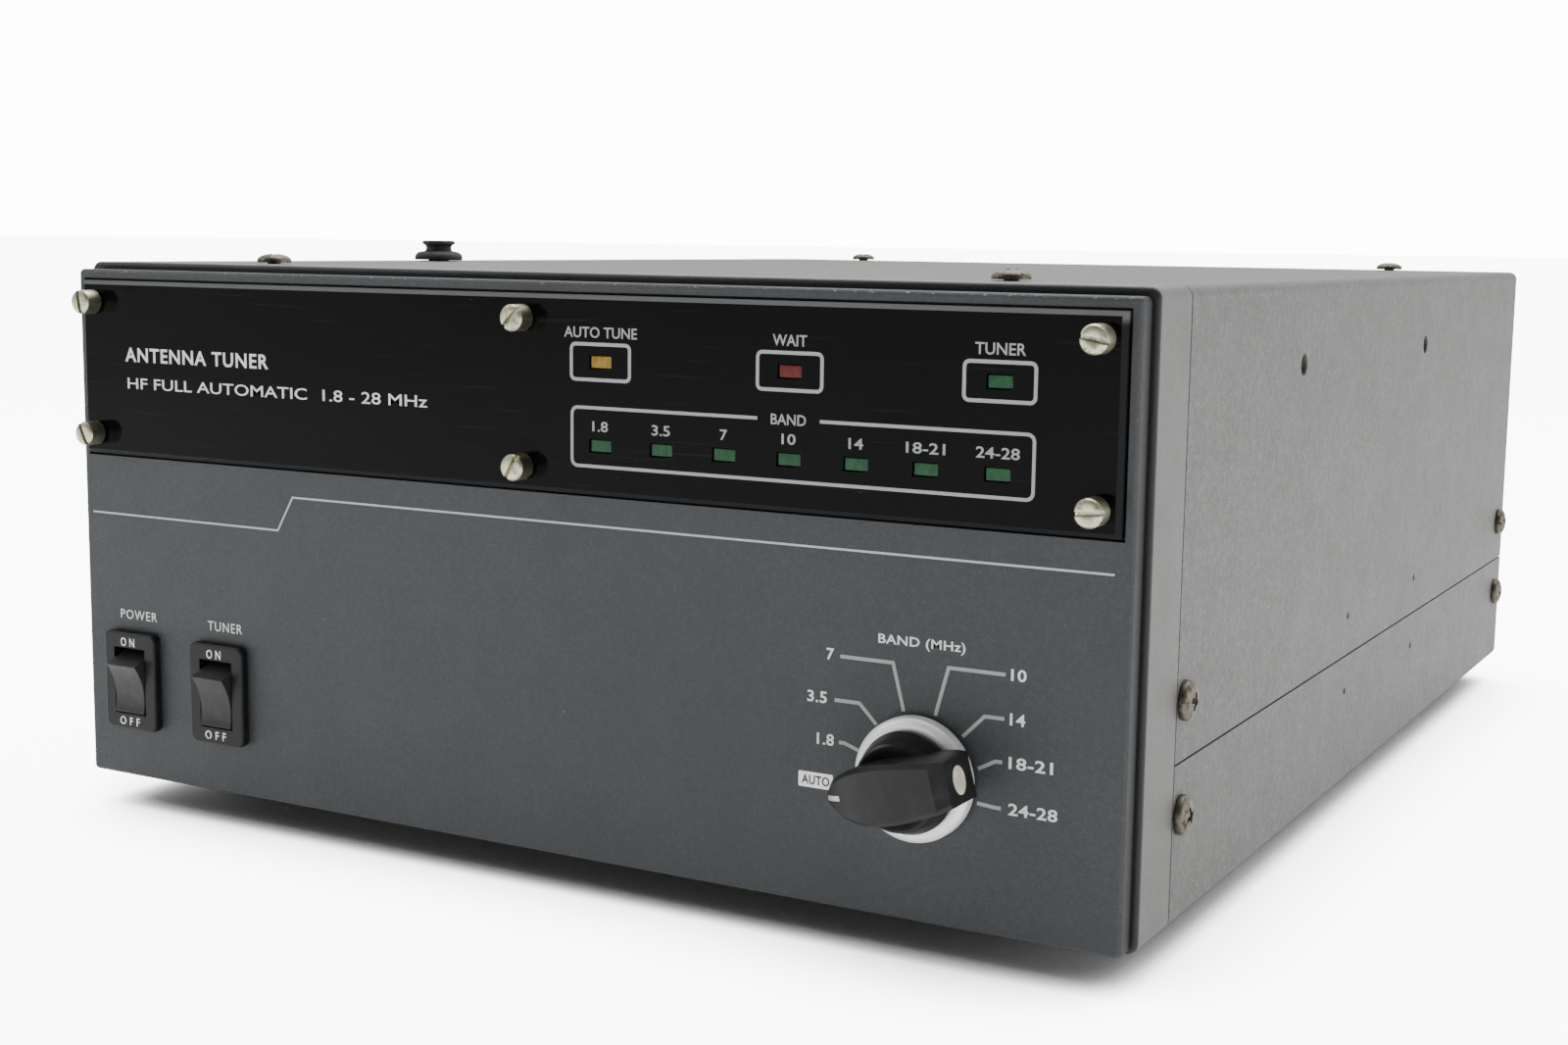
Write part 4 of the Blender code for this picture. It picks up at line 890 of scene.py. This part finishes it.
def make_switches():
    pin_reach = ROCKER_HALF_WIDTH + 1.15 * MM
    for switch in SWITCHES:
        node, rocker = f"{switch}_switch_body", f"{switch}_rocker"
        centre = middle(node)
        low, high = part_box(node)
        front, back = depths(node)
        across, up = (high.x - low.x) / 2, (high.z - low.z) / 2
        flange = prism(rectangle((-across, -up), (across, up), 1.6 * MM, 6), Y, front, -GAP)
        round_front_edges(flange, 0.5 * MM, 3, front + 0.1 * MM)
        case = block((0, 0), mm(6.5, 9.5), -CLEAR, 16.5 * MM)
        blades = [block((0, z * MM), mm(3.1, 0.4), 15.5 * MM, back) for z in (-6, 0, 6)]
        well = block((0, 0), (ROCKER_HALF_WIDTH + 0.25 * MM, WELL_HALF), front - CLEAR, 11.4 * MM)
        sockets = rod(X, (PIVOT_DEPTH, 0), 1.5 * MM, -pin_reach - GAP, pin_reach + GAP, 16)
        stand_in(node, switch_plastic, [flange, case] + blades, [well, sockets], at=centred(node),
                 bevel=0.07 * MM, steps=1)
        outline = rocker_outline(WELL_HALF - 0.35 * MM, 7.1 * MM)
        paddle = prism(outline, X, -ROCKER_HALF_WIDTH, ROCKER_HALF_WIDTH)
        pins = rod(X, (0, 0), 1.2 * MM, -pin_reach, pin_reach, 20)
        stand_in(rocker, rocker_plastic, [paddle, pins], at=(centre.x, PIVOT_DEPTH, centre.z),
                 turn=(ROCKER_TILT, 0, 0), bevel=0.22 * MM, steps=3, body=rocker, sharp=28)
        for words, x, z, size in (("ON", -0.4, 8.5, (4.0, 1.9)), ("OFF", -0.3, -8.8, (5.8, 1.8))):
            lettering(f"{switch}_{words.lower()}", words, (centre.x + x * MM, centre.z + z * MM), mm(*size),
                      switch_ink, front, weight=0.012, spacing=1.7)


def blend_stations(stations, steps):
    """More stations between the given ones, on smooth curves through them."""
    fine = []
    for index in range(len(stations) - 1):
        before = stations[max(0, index - 1)]
        near, far = stations[index], stations[index + 1]
        after = stations[min(len(stations) - 1, index + 2)]
        for step in range(steps):
            t = step / steps
            fine.append([0.5 * (2 * b + (c - a) * t + (2 * a - 5 * b + 4 * c - d) * t * t
                                + (3 * b - a - 3 * c + d) * t ** 3)
                         for a, b, c, d in zip(before, near, far, after)])
    return fine + [list(stations[-1])]


def bar_section(along, half, rear, front):
    """The pointer bar's section at one station, in millimetres: flat in front, with chamfers."""
    edge = 0.9
    flat = half - 0.8 * min(1, half / 2)
    corners = ((rear, -half), (rear, half), (front - edge, half), (front, flat), (front, -flat),
               (front - edge, -half))
    return [mm(along, -out, side) for out, side in corners]


def make_knob():
    """Pointer knob on its skirt; in its own axes the pointer lies along +X."""
    ride = {"at": (KNOB.x, 0, KNOB.z), "turn": (0, -KNOB_REST, 0), "body": "selector"}
    profile = points((5.0, -0.6), (10.9, -0.6), (11.0, -0.75), (11.0, -2.5), (10.8, -2.9), (10.2, -3.45),
                     (9.7, -3.6), (5.0, -3.6))
    stand_in("knob_skirt", skirt_metal, [turned(profile, Y, (0, 0), 96, ring=True)], **ride)
    bore = rod(Y, (0, 0), 3.3 * MM, -12.3 * MM, CLEAR)
    profile = points((0, -3.9), (8.9, -3.9), (9.0, -4.1), (9.0, -5.0), (8.7, -5.6), (7.7, -9.2), (7.3, -9.5),
                     (6.6, -9.3), (4.0, -8.2), (0, -7.9))
    hub = turned(profile, Y, (0, 0), 72)
    stem = rod(Y, (0, 0), 4.6 * MM, -4.5 * MM, -0.8 * MM)
    tail = (-12.4, 3.9, 4.2, 14.2)
    stations = blend_stations([(-10.6, 4.35, 4.2, 16.4), (-2.0, 5.2, 4.2, 16.0), (5.0, 4.9, 4.5, 14.2),
                               (10.5, 3.3, 5.6, 11.2), (13.3, 1.2, 6.6, 9.0)], 4)
    bar = loft([bar_section(*station) for station in [tail] + stations])
    stand_in("band_knob", knob_plastic, [hub, stem, bar], [bore], bevel=0.3 * MM, steps=3, sharp=24, **ride)
    inset = [(-(9.3 * MM + 2.3 * MM * math.cos(angle)), 2.5 * MM * math.sin(angle))
             for angle in [2 * math.pi * index / 40 for index in range(40)]]
    oval = prism(inset, X, -12.45 * MM, -12.2 * MM)
    build("knob_inset", cream, [oval], bevel=0.12 * MM, **ride)
    dash = loft([[mm(along, -(front + proud), side * 0.45)
                  for proud, side in ((0.08, -1), (0.08, 1), (-0.8, 1), (-0.8, -1))]
                 for along, half, rear, front in stations[-6:-1]])
    build("knob_pointer", pointer_paint, [dash], **ride)


# ---------------------------------------------------------------- case

BRACKET_Y = mm(91.5, 198.2)
BRACKET_Z = 102.1 * MM
PIN_Y = mm(136.0, 199.0)


def side_cuts(screws, pin_z):
    """Screw holes and small pin holes through both sides of a cover."""
    half = COVER_HIGH.x
    cuts = []
    for node in screws:
        centre = middle(node)
        side = math.copysign(1, centre.x)
        cuts.append(rod(X, (centre.y - FRONT, centre.z), SCREW_HOLE, side * (half - 6 * MM),
                        side * (half + 2 * MM), 20))
    for side in (-1, 1):
        near, far = side * (half - 3 * MM), side * (half + 2 * MM)
        cuts += [rod(X, (y, pin_z), 0.8 * MM, near, far, 16) for y in PIN_Y]
    return cuts


def make_covers():
    start, end = depths("top_cover")
    half = COVER_HIGH.x
    cuts = side_cuts(SIDE_SCREWS[0::2], 45.1 * MM)
    below, above = COVER_HIGH.z - 3 * MM, COVER_HIGH.z + 2 * MM
    for node in TOP_SCREWS:
        centre = middle(node)
        cuts.append(rod(Z, (centre.x, centre.y - FRONT), SCREW_HOLE, below, above, 20))
    plug = middle("top_plug")
    cuts.append(rod(Z, (plug.x, plug.y - FRONT), 3.0 * MM, below, above, 24))
    for side in (-1, 1):
        cuts += [rod(X, (y, BRACKET_Z), 2.15 * MM, side * (half - 3 * MM), side * (half + 2 * MM), 32)
                 for y in BRACKET_Y]
    top = prism(folded_sheet(half, COVER_HIGH.z, COVER_LOW.z, SHEET_BEND, SHEET), Y, start, end)
    stand_in("top_cover", case_paint, [top], cuts, bevel=0.15 * MM)

    cuts = side_cuts(SIDE_SCREWS[1::2], 28.2 * MM)
    for node in FEET:
        centre = middle(node)
        cuts.append(rod(Z, (centre.x, centre.y - FRONT), 3.0 * MM, TRAY_LOW.z - 2 * MM,
                        TRAY_LOW.z + 3 * MM, 20))
    bottom = prism(folded_sheet(half, TRAY_LOW.z, TRAY_HIGH.z, SHEET_BEND, SHEET), Y, start, end)
    stand_in("bottom_cover", case_paint, [bottom], cuts, bevel=0.15 * MM)
    inner = half - SHEET
    for number, (side, y) in enumerate([(side, y) for side in (-1, 1) for y in BRACKET_Y], 1):
        profile = [(1.65 * MM, side * (inner - 3.0 * MM)), (3.4 * MM, side * (inner - 3.0 * MM)),
                   (3.4 * MM, side * (inner - 0.05 * MM)), (1.95 * MM, side * (inner - 0.05 * MM))]
        nut = turned(profile, X, (y, BRACKET_Z), 32, ring=True)
        build(f"bracket_nut_{number}", bright_steel, [nut])


def cross_head(radius, height):
    """Dome head along +Z with a cross recess, on a plain shank."""
    arc = [(radius * math.sin(angle), GAP + (height - GAP) * (0.25 + 0.75 * math.cos(angle)))
           for angle in [math.pi / 2 * step / 7 for step in range(8)]]
    profile = arc + [(radius, GAP), (SCREW_SHANK, GAP), (SCREW_SHANK, -6 * MM), (0, -6 * MM)]
    head = turned(profile, Z, (0, 0), 40)
    deep, proud = height - 1.35 * MM, height + 0.5 * MM
    cuts = []
    for flip in (1, -1):
        sections = []
        for half, level in ((mm(0.35, 0.9), deep), (mm(0.55, 2.1), proud)):
            across, along = half[::flip]
            sections.append([(x, y, level) for x, y in rectangle((-across, -along), (across, along))])
        cuts.append(loft(sections))
    return [head], cuts


def make_case_screws():
    for number, node in enumerate(SIDE_SCREWS + TOP_SCREWS):
        centre = middle(node)
        shapes, cuts = cross_head(3.6 * MM, 2.2 * MM)
        spin = Matrix.Rotation(math.radians(17 + 37 * number), 4, "Z")
        for shape in shapes + cuts:
            bmesh.ops.transform(shape, matrix=spin, verts=shape.verts)
        if node in TOP_SCREWS:
            at, turn = (centre.x, centre.y - FRONT, COVER_HIGH.z), (0, 0, 0)
        else:
            side = math.copysign(1, centre.x)
            at, turn = (side * COVER_HIGH.x, centre.y - FRONT, centre.z), (0, side * math.pi / 2, 0)
        stand_in(node, case_screw_nickel, shapes, cuts, at=at, turn=turn, sharp=40)


def make_plug_and_feet():
    low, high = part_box("top_plug")
    centre = middle("top_plug")
    collar = COVER_HIGH.z + GAP
    profile = points((0, 0), (2.6, 0), base=low.z)
    profile += points((2.6, 0), (5.8, 0), (6.0, 0.2), (6.0, 0.9), (5.7, 1.5), (5.0, 2.0), (3.5, 2.25),
                      (3.2, 2.6), (3.2, 3.4), (3.5, 3.75), (4.1, 4.0), (4.15, 4.5), (3.9, 4.8), base=collar)
    profile += points((3.2, 0), (0, 0), base=high.z)
    plug = turned(profile, Z, (centre.x, centre.y - FRONT), 48)
    stand_in("top_plug", rubber, [plug], sharp=50)
    seat = TRAY_LOW.z - GAP
    for node in FEET:
        low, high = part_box(node)
        centre = middle(node)
        radius = (high.x - low.x) / 2
        profile = points((2.2, 2.4), (5.0, 2.4), (5.0, 0.3), (5.3, 0), (8.4, 0), (9.4, 0.3), (10.2, 1.1))
        profile += [(radius, seat - 0.5 * MM), (radius - 0.3 * MM, seat), (2.6 * MM, seat)]
        profile += points((2.6, 0), (0, 0), base=high.z) + points((0, 2.2), (2.2, 2.2))
        foot = turned(profile, Z, (centre.x, centre.y - FRONT), 48)
        stand_in(node, rubber, [foot], sharp=50)


# ---------------------------------------------------------------- rear

def thread(radius, start, end, pitch, depth):
    """Profile points of thread-like ridges along an axis."""
    profile = []
    count = max(1, round((end - start) / pitch))
    for index in range(count):
        along = start + (end - start) * index / count
        profile += [(radius - depth, along), (radius, along + 0.5 * (end - start) / count)]
    return profile + [(radius - depth, end)]


def knurled(radius, depth, count, start, end):
    outline = []
    for index in range(2 * count):
        angle = math.pi * index / count
        reach = radius - (depth if index % 2 else 0)
        outline.append((reach * math.cos(angle), reach * math.sin(angle)))
    return prism(outline, Y, start, end)


def make_rear_panel():
    start, end = depths("rear_panel")
    panel_front = end - 1.6 * MM
    before, behind = panel_front - CLEAR, end + CLEAR
    panel = box((REAR_LOW.x, panel_front, REAR_LOW.z), (REAR_HIGH.x, end, REAR_HIGH.z))
    flange = box((REAR_LOW.x, start, REAR_HIGH.z - SHEET), (REAR_HIGH.x, end, REAR_HIGH.z))
    cuts = []
    for node in TOP_SCREWS[2:]:
        centre = middle(node)
        cuts.append(rod(Z, (centre.x, centre.y - FRONT), SCREW_HOLE, REAR_HIGH.z - 3 * MM,
                        REAR_HIGH.z + CLEAR, 20))
    for node, radius in (("coax_socket_input", 5.9), ("coax_socket_antenna", 5.9), ("ground_post", 2.9),
                         ("fuse_holder", 6.3), ("accessory_socket", 8.3)):
        centre = middle(node)
        cuts.append(rod(Y, (centre.x, centre.z), radius * MM, before, behind, 40))
    centre = middle("mains_inlet")
    cuts.append(block((centre.x, centre.z), mm(14.3, 10.3), before, behind))
    stand_in("rear_panel", rear_aluminium, [panel, flange], cuts, bevel=0.12 * MM)
    labels = (("coax_socket_input", "INPUT", 10.0, 17.0), ("coax_socket_antenna", "ANTENNA", 15.5, 17.0),
              ("ground_post", "GND", 7.0, 13.5), ("fuse_holder", "FUSE", 8.6, 13.5),
              ("accessory_socket", "ACC", 6.6, 15.5), ("mains_inlet", "AC", 4.8, 17.0))
    for node, words, width, rise in labels:
        centre = middle(node)
        lettering(f"rear_{words.lower()}", words, (centre.x, centre.z + rise * MM), mm(width, 2.8),
                  dark_print, end, weight=0.02, back=True)


def make_coax_sockets():
    for node in COAX_SOCKETS:
        start, end = depths(node)
        centre = middle(node)
        at = centred(node)
        seat = REAR_SEAT
        half, bolt, barrel = mm(12.5, 9.2, 7.9)
        flange = prism(rectangle((-half, -half), (half, half), 1.0 * MM, 4), Y, seat, seat + 1.6 * MM)
        profile = points((0, 6), (5.5, 6), base=start)
        profile += points((5.5, 0.5), (7.9, 0.5), (7.9, 3.2), base=seat)
        profile += thread(barrel, seat + 3.6 * MM, end - 0.8 * MM, 1.06 * MM, 0.45 * MM)
        profile += points((7.2, 0), (5.9, 0), (5.7, -0.3), (5.7, -6), (0, -6), base=end)
        tail = rod(Y, (0, 0), 2.0 * MM, start, start + 8 * MM, 20)
        corners = [(across * bolt, up * bolt) for across in (-1, 1) for up in (-1, 1)]
        holes = [rod(Y, corner, SCREW_SHANK, seat - CLEAR, seat + 3 * MM, 20) for corner in corners]
        notches = [block((0, 0), size, end - 1.2 * MM, end + CLEAR) for size in (mm(0.6, 9), mm(9, 0.6))]
        stand_in(node, connector_nickel, [flange, turned(profile, Y, (0, 0), 64), tail], holes + notches,
                 at=at, sharp=35)
        profile = points((1.9, -6.02), (5.6, -6.02), (5.6, -3.4), (5.2, -3.0), (1.9, -3.0), base=end)
        build(f"{node}_core", insulator, [turned(profile, Y, (0, 0), 48, ring=True)], at=at)
        profile = points((0, -6.02), (1.85, -6.02), (1.85, -2.6), (1.7, -2.4), (1.25, -2.4), (1.25, -5.5),
                         (0, -5.5), base=end)
        slits = [block((0, 0), size, end - 4.5 * MM, end) for size in (mm(0.2, 3), mm(3, 0.2))]
        build(f"{node}_contact", brass, [turned(profile, Y, (0, 0), 32)], slits, at=at)
        for number, (across, up) in enumerate(corners, 1):
            shapes, cuts = cross_head(2.4 * MM, 1.5 * MM)
            build(f"{node}_screw_{number}", connector_nickel, shapes, cuts,
                  at=(centre.x + across, seat + 1.6 * MM - GAP + 0.02 * MM, centre.z + up),
                  turn=(-math.pi / 2, 0, 0), sharp=40)


def make_ground_post():
    start, end = depths("ground_post")
    seat = REAR_SEAT
    stud, pitch, ridge = mm(2.5, 0.8, 0.3)
    profile = points((0, 0), (2.5, 0), base=start)
    profile += points((2.5, 0), (6.4, 0), (6.5, 0.15), (6.5, 0.9), (5.6, 1.0), (5.5, 2.6), (2.5, 3.0),
                      base=seat)
    profile += thread(stud, seat + 3.2 * MM, seat + 8 * MM, pitch, ridge)
    profile += points((2.2, 15), base=seat)
    profile += thread(stud, seat + 15.2 * MM, end - 0.8 * MM, pitch, ridge)
    profile += points((1.9, 0), (0, 0), base=end)
    post = turned(profile, Y, (0, 0), 40)
    nut = knurled(7.5 * MM, 0.3 * MM, 36, seat + 8.0 * MM, seat + 12.6 * MM)
    profile = points((0, 12.5), (6.6, 12.5), (6.6, 13.2), (5.6, 14.6), (0, 15), base=seat)
    shoulder = turned(profile, Y, (0, 0), 48)
    stand_in("ground_post", brass, [post, nut, shoulder], at=centred("ground_post"), sharp=35)


def make_fuse():
    start, end = depths("fuse_holder")
    seat = REAR_SEAT
    profile = points((3.7, 0), (6.0, 0), base=start) + points((6.0, 0), (7.8, 0), (8.0, 0.2), base=seat)
    profile += points((8.0, -0.5), (7.5, 0), (3.7, 0), base=end)
    stand_in("fuse_holder", switch_plastic, [turned(profile, Y, (0, 0), 64, ring=True)],
             at=centred("fuse_holder"))
    start, end = depths("fuse_cap")
    face = seat + 2.7 * MM
    stem = rod(Y, (0, 0), 3.2 * MM, start, face + 0.5 * MM)
    grip = knurled(6.4 * MM, 0.35 * MM, 24, face, end - 1.6 * MM)
    profile = points((0, -1.7), (6.0, -1.7), (6.0, -0.9), (5.3, 0), (0, 0), base=end)
    crown = turned(profile, Y, (0, 0), 48)
    slot = block((0, 0), mm(4.2, 0.6), end - 2 * MM, end + CLEAR)
    stand_in("fuse_cap", knob_plastic, [stem, grip, crown], [slot], at=centred("fuse_holder"),
             body="fuse_cap", slot="switch_plastic", sharp=35)


def make_accessory_socket():
    start, end = depths("accessory_socket")
    at = centred("accessory_socket")
    seat = REAR_SEAT
    floor = seat - 5.2 * MM
    profile = points((0, 0), (8.0, 0), base=start) + points((8.0, 0), (10.3, 0), (10.5, 0.2), base=seat)
    profile += points((10.5, -0.4), (10.1, 0), (7.3, 0), (7.0, -0.3), base=end)
    profile += points((7.0, 0), (0, 0), base=floor)
    stand_in("accessory_socket", switch_plastic, [turned(profile, Y, (0, 0), 72)], at=at)
    profile = points((0, -0.02), (0.55, -0.02), (0.55, 3.4), (0.3, 3.8), (0, 3.8), base=floor)
    for index in range(8):
        angle = math.radians(30 + 300 * index / 7 - 90 - 30)
        place = (4.4 * MM * math.cos(angle), 4.4 * MM * math.sin(angle))
        build(f"accessory_pin_{index + 1}", connector_nickel, [turned(profile, Y, place, 16)], at=at)


def make_mains_inlet():
    start, end = depths("mains_inlet")
    at = centred("mains_inlet")
    seat = REAR_SEAT
    floor = seat - 15 * MM
    collar = prism(rectangle(mm(-15.5, -12), mm(15.5, 12), 2 * MM, 6), Y, seat, end)
    case = block((0, 0), mm(13.9, 9.9), start, seat + CLEAR)
    outline = points((-12, -8.2), (12, -8.2), (12, 4.2), (8.2, 8.2), (-8.2, 8.2), (-12, 4.2))
    cavity = prism(outline, Y, floor, end + CLEAR)
    stand_in("mains_inlet", switch_plastic, [collar, case], [cavity], at=at, bevel=0.25 * MM, steps=3)
    for number, (x, z, reach) in enumerate(((-7, -2, 12), (0, 2, 13.5), (7, -2, 12)), 1):
        blade = block(mm(x, z), mm(1.0, 2.0), floor - 0.02 * MM, floor + reach * MM)
        build(f"mains_blade_{number}", connector_nickel, [blade], at=at, bevel=0.35 * MM)


# ---------------------------------------------------------------- CAD nodes that keep their shape

def finish_inner_nodes():
    finishes = {bright_steel: ("chassis", "front_subpanel", "selector_shaft", "tune_motor", "load_motor",
                               "power_transformer"),
                switch_plastic: ("selector_switch",), board: ("display_board", "control_board"),
                sheet_aluminium: ("tune_capacitor_stator", "load_capacitor_stator"), ceramic: ("tank_coil",),
                brass: ("tune_capacitor_rotor", "load_capacitor_rotor", "tune_pinion", "load_pinion")}
    for material, nodes in finishes.items():
        for node in nodes:
            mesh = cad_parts[node].data
            mesh.materials.clear()
            mesh.materials.append(material)


# ---------------------------------------------------------------- floor, light and camera

def make_stage():
    """A pale floor, seen bright, with a painted shadow under and beside the object where ambient occlusion
    dims its glow.
    """
    paint = Paint("pale_floor", (0.84, 0.84, 0.84), 0.7, Specular_IOR_Level=0.1)
    paint.bump(paint.noise(30 * MM, 2.0), 0.1 * MM)
    paint.colour(paint.mix(paint.noise(300 * MM, 2.0), (0.82, 0.82, 0.82), (0.86, 0.86, 0.86)))
    seen = paint.add("ShaderNodeLightPath").outputs["Is Camera Ray"]
    # painted shadow: the floor's glow is dimmed near the object by ambient occlusion
    open_sky = paint.add("ShaderNodeAmbientOcclusion", {"samples": 16}, Distance=SHADOW_REACH).outputs["AO"]
    painted_shadow_factor = paint.between(open_sky, 0.22, 0.86)
    glow = paint.maths("ADD", paint.maths("MULTIPLY", seen, FLOOR_GLOW), FLOOR_BOUNCE)
    paint.put(paint.shader.inputs["Emission Color"], (1, 1, 1, 1))
    paint.put(paint.shader.inputs["Emission Strength"], paint.maths("MULTIPLY", glow, painted_shadow_factor))
    shape = bmesh.new()
    half = FLOOR_SIZE / 2
    shape.faces.new([shape.verts.new((x, y, 0)) for x, y in rectangle((-half, -half), (half, half))])
    floor = link("floor", merged([shape], "floor"), paint.material)


def make_world():
    """A white backdrop behind the object and a dimmer room in front of it."""
    world = bpy.data.worlds.new("studio")
    world.use_nodes = True
    nodes, links = world.node_tree.nodes, world.node_tree.links
    background = nodes["Background"]
    background.inputs["Color"].default_value = (1.0, 1.0, 1.0, 1)
    split = nodes.new("ShaderNodeSeparateXYZ")
    links.new(nodes.new("ShaderNodeTexCoord").outputs["Generated"], split.inputs[0])
    room = nodes.new("ShaderNodeMapRange")
    room.interpolation_type = "SMOOTHSTEP"
    links.new(split.outputs["Y"], room.inputs["Value"])
    for socket, value in (("From Min", -0.45), ("From Max", 0.6), ("To Min", ROOM_GLOW),
                          ("To Max", BACKDROP_GLOW)):
        room.inputs[socket].default_value = value
    seen = nodes.new("ShaderNodeMix")
    links.new(nodes.new("ShaderNodeLightPath").outputs["Is Camera Ray"], seen.inputs[0])
    links.new(room.outputs["Result"], seen.inputs[2])
    seen.inputs[3].default_value = SEEN_GLOW
    links.new(seen.outputs[0], background.inputs["Strength"])
    bpy.context.scene.world = world


def softbox(name, place, target, size, power):
    light = bpy.data.lights.new(name, "AREA")
    light.shape = "RECTANGLE"
    light.size, light.size_y = size
    light.energy = power
    stand = bpy.data.objects.new(name, light)
    bpy.context.scene.collection.objects.link(stand)
    stand.location = place
    aim = Vector(target) - Vector(place)
    stand.rotation_euler = aim.to_track_quat("-Z", "Y").to_euler()


def make_lights():
    softbox("key", (1.3, 0.25, 0.20), (0, 0, 0.03), (0.9, 0.38), 3.5)
    softbox("overhead", (-0.1, 0.4, 1.5), (0, 0, 0.1), (1.6, 1.6), 32)
    softbox("fill", (-1.0, -0.7, 0.75), (0, -0.1, 0.04), (0.6, 0.6), 5.5)


def make_camera():
    data = bpy.data.cameras.new("camera")
    data.lens = CAMERA_LENS
    data.sensor_width = 36.0
    camera = bpy.data.objects.new("camera", data)
    bpy.context.scene.collection.objects.link(camera)
    turn = (Matrix.Rotation(CAMERA_YAW, 3, "Z") @ Matrix.Rotation(math.pi / 2 + CAMERA_PITCH, 3, "X")
            @ Matrix.Rotation(CAMERA_ROLL, 3, "Z"))
    camera.matrix_world = Matrix.Translation(CAMERA_PLACE) @ turn.to_4x4()
    bpy.context.scene.camera = camera


make_front_plate()
make_front_bezel()
make_window()
make_lamps()
make_window_print()
make_plate_print()
make_switches()
make_knob()
make_covers()
make_case_screws()
make_plug_and_feet()
make_rear_panel()
make_coax_sockets()
make_ground_post()
make_fuse()
make_accessory_socket()
make_mains_inlet()
finish_inner_nodes()
make_stage()
make_world()
make_lights()
make_camera()
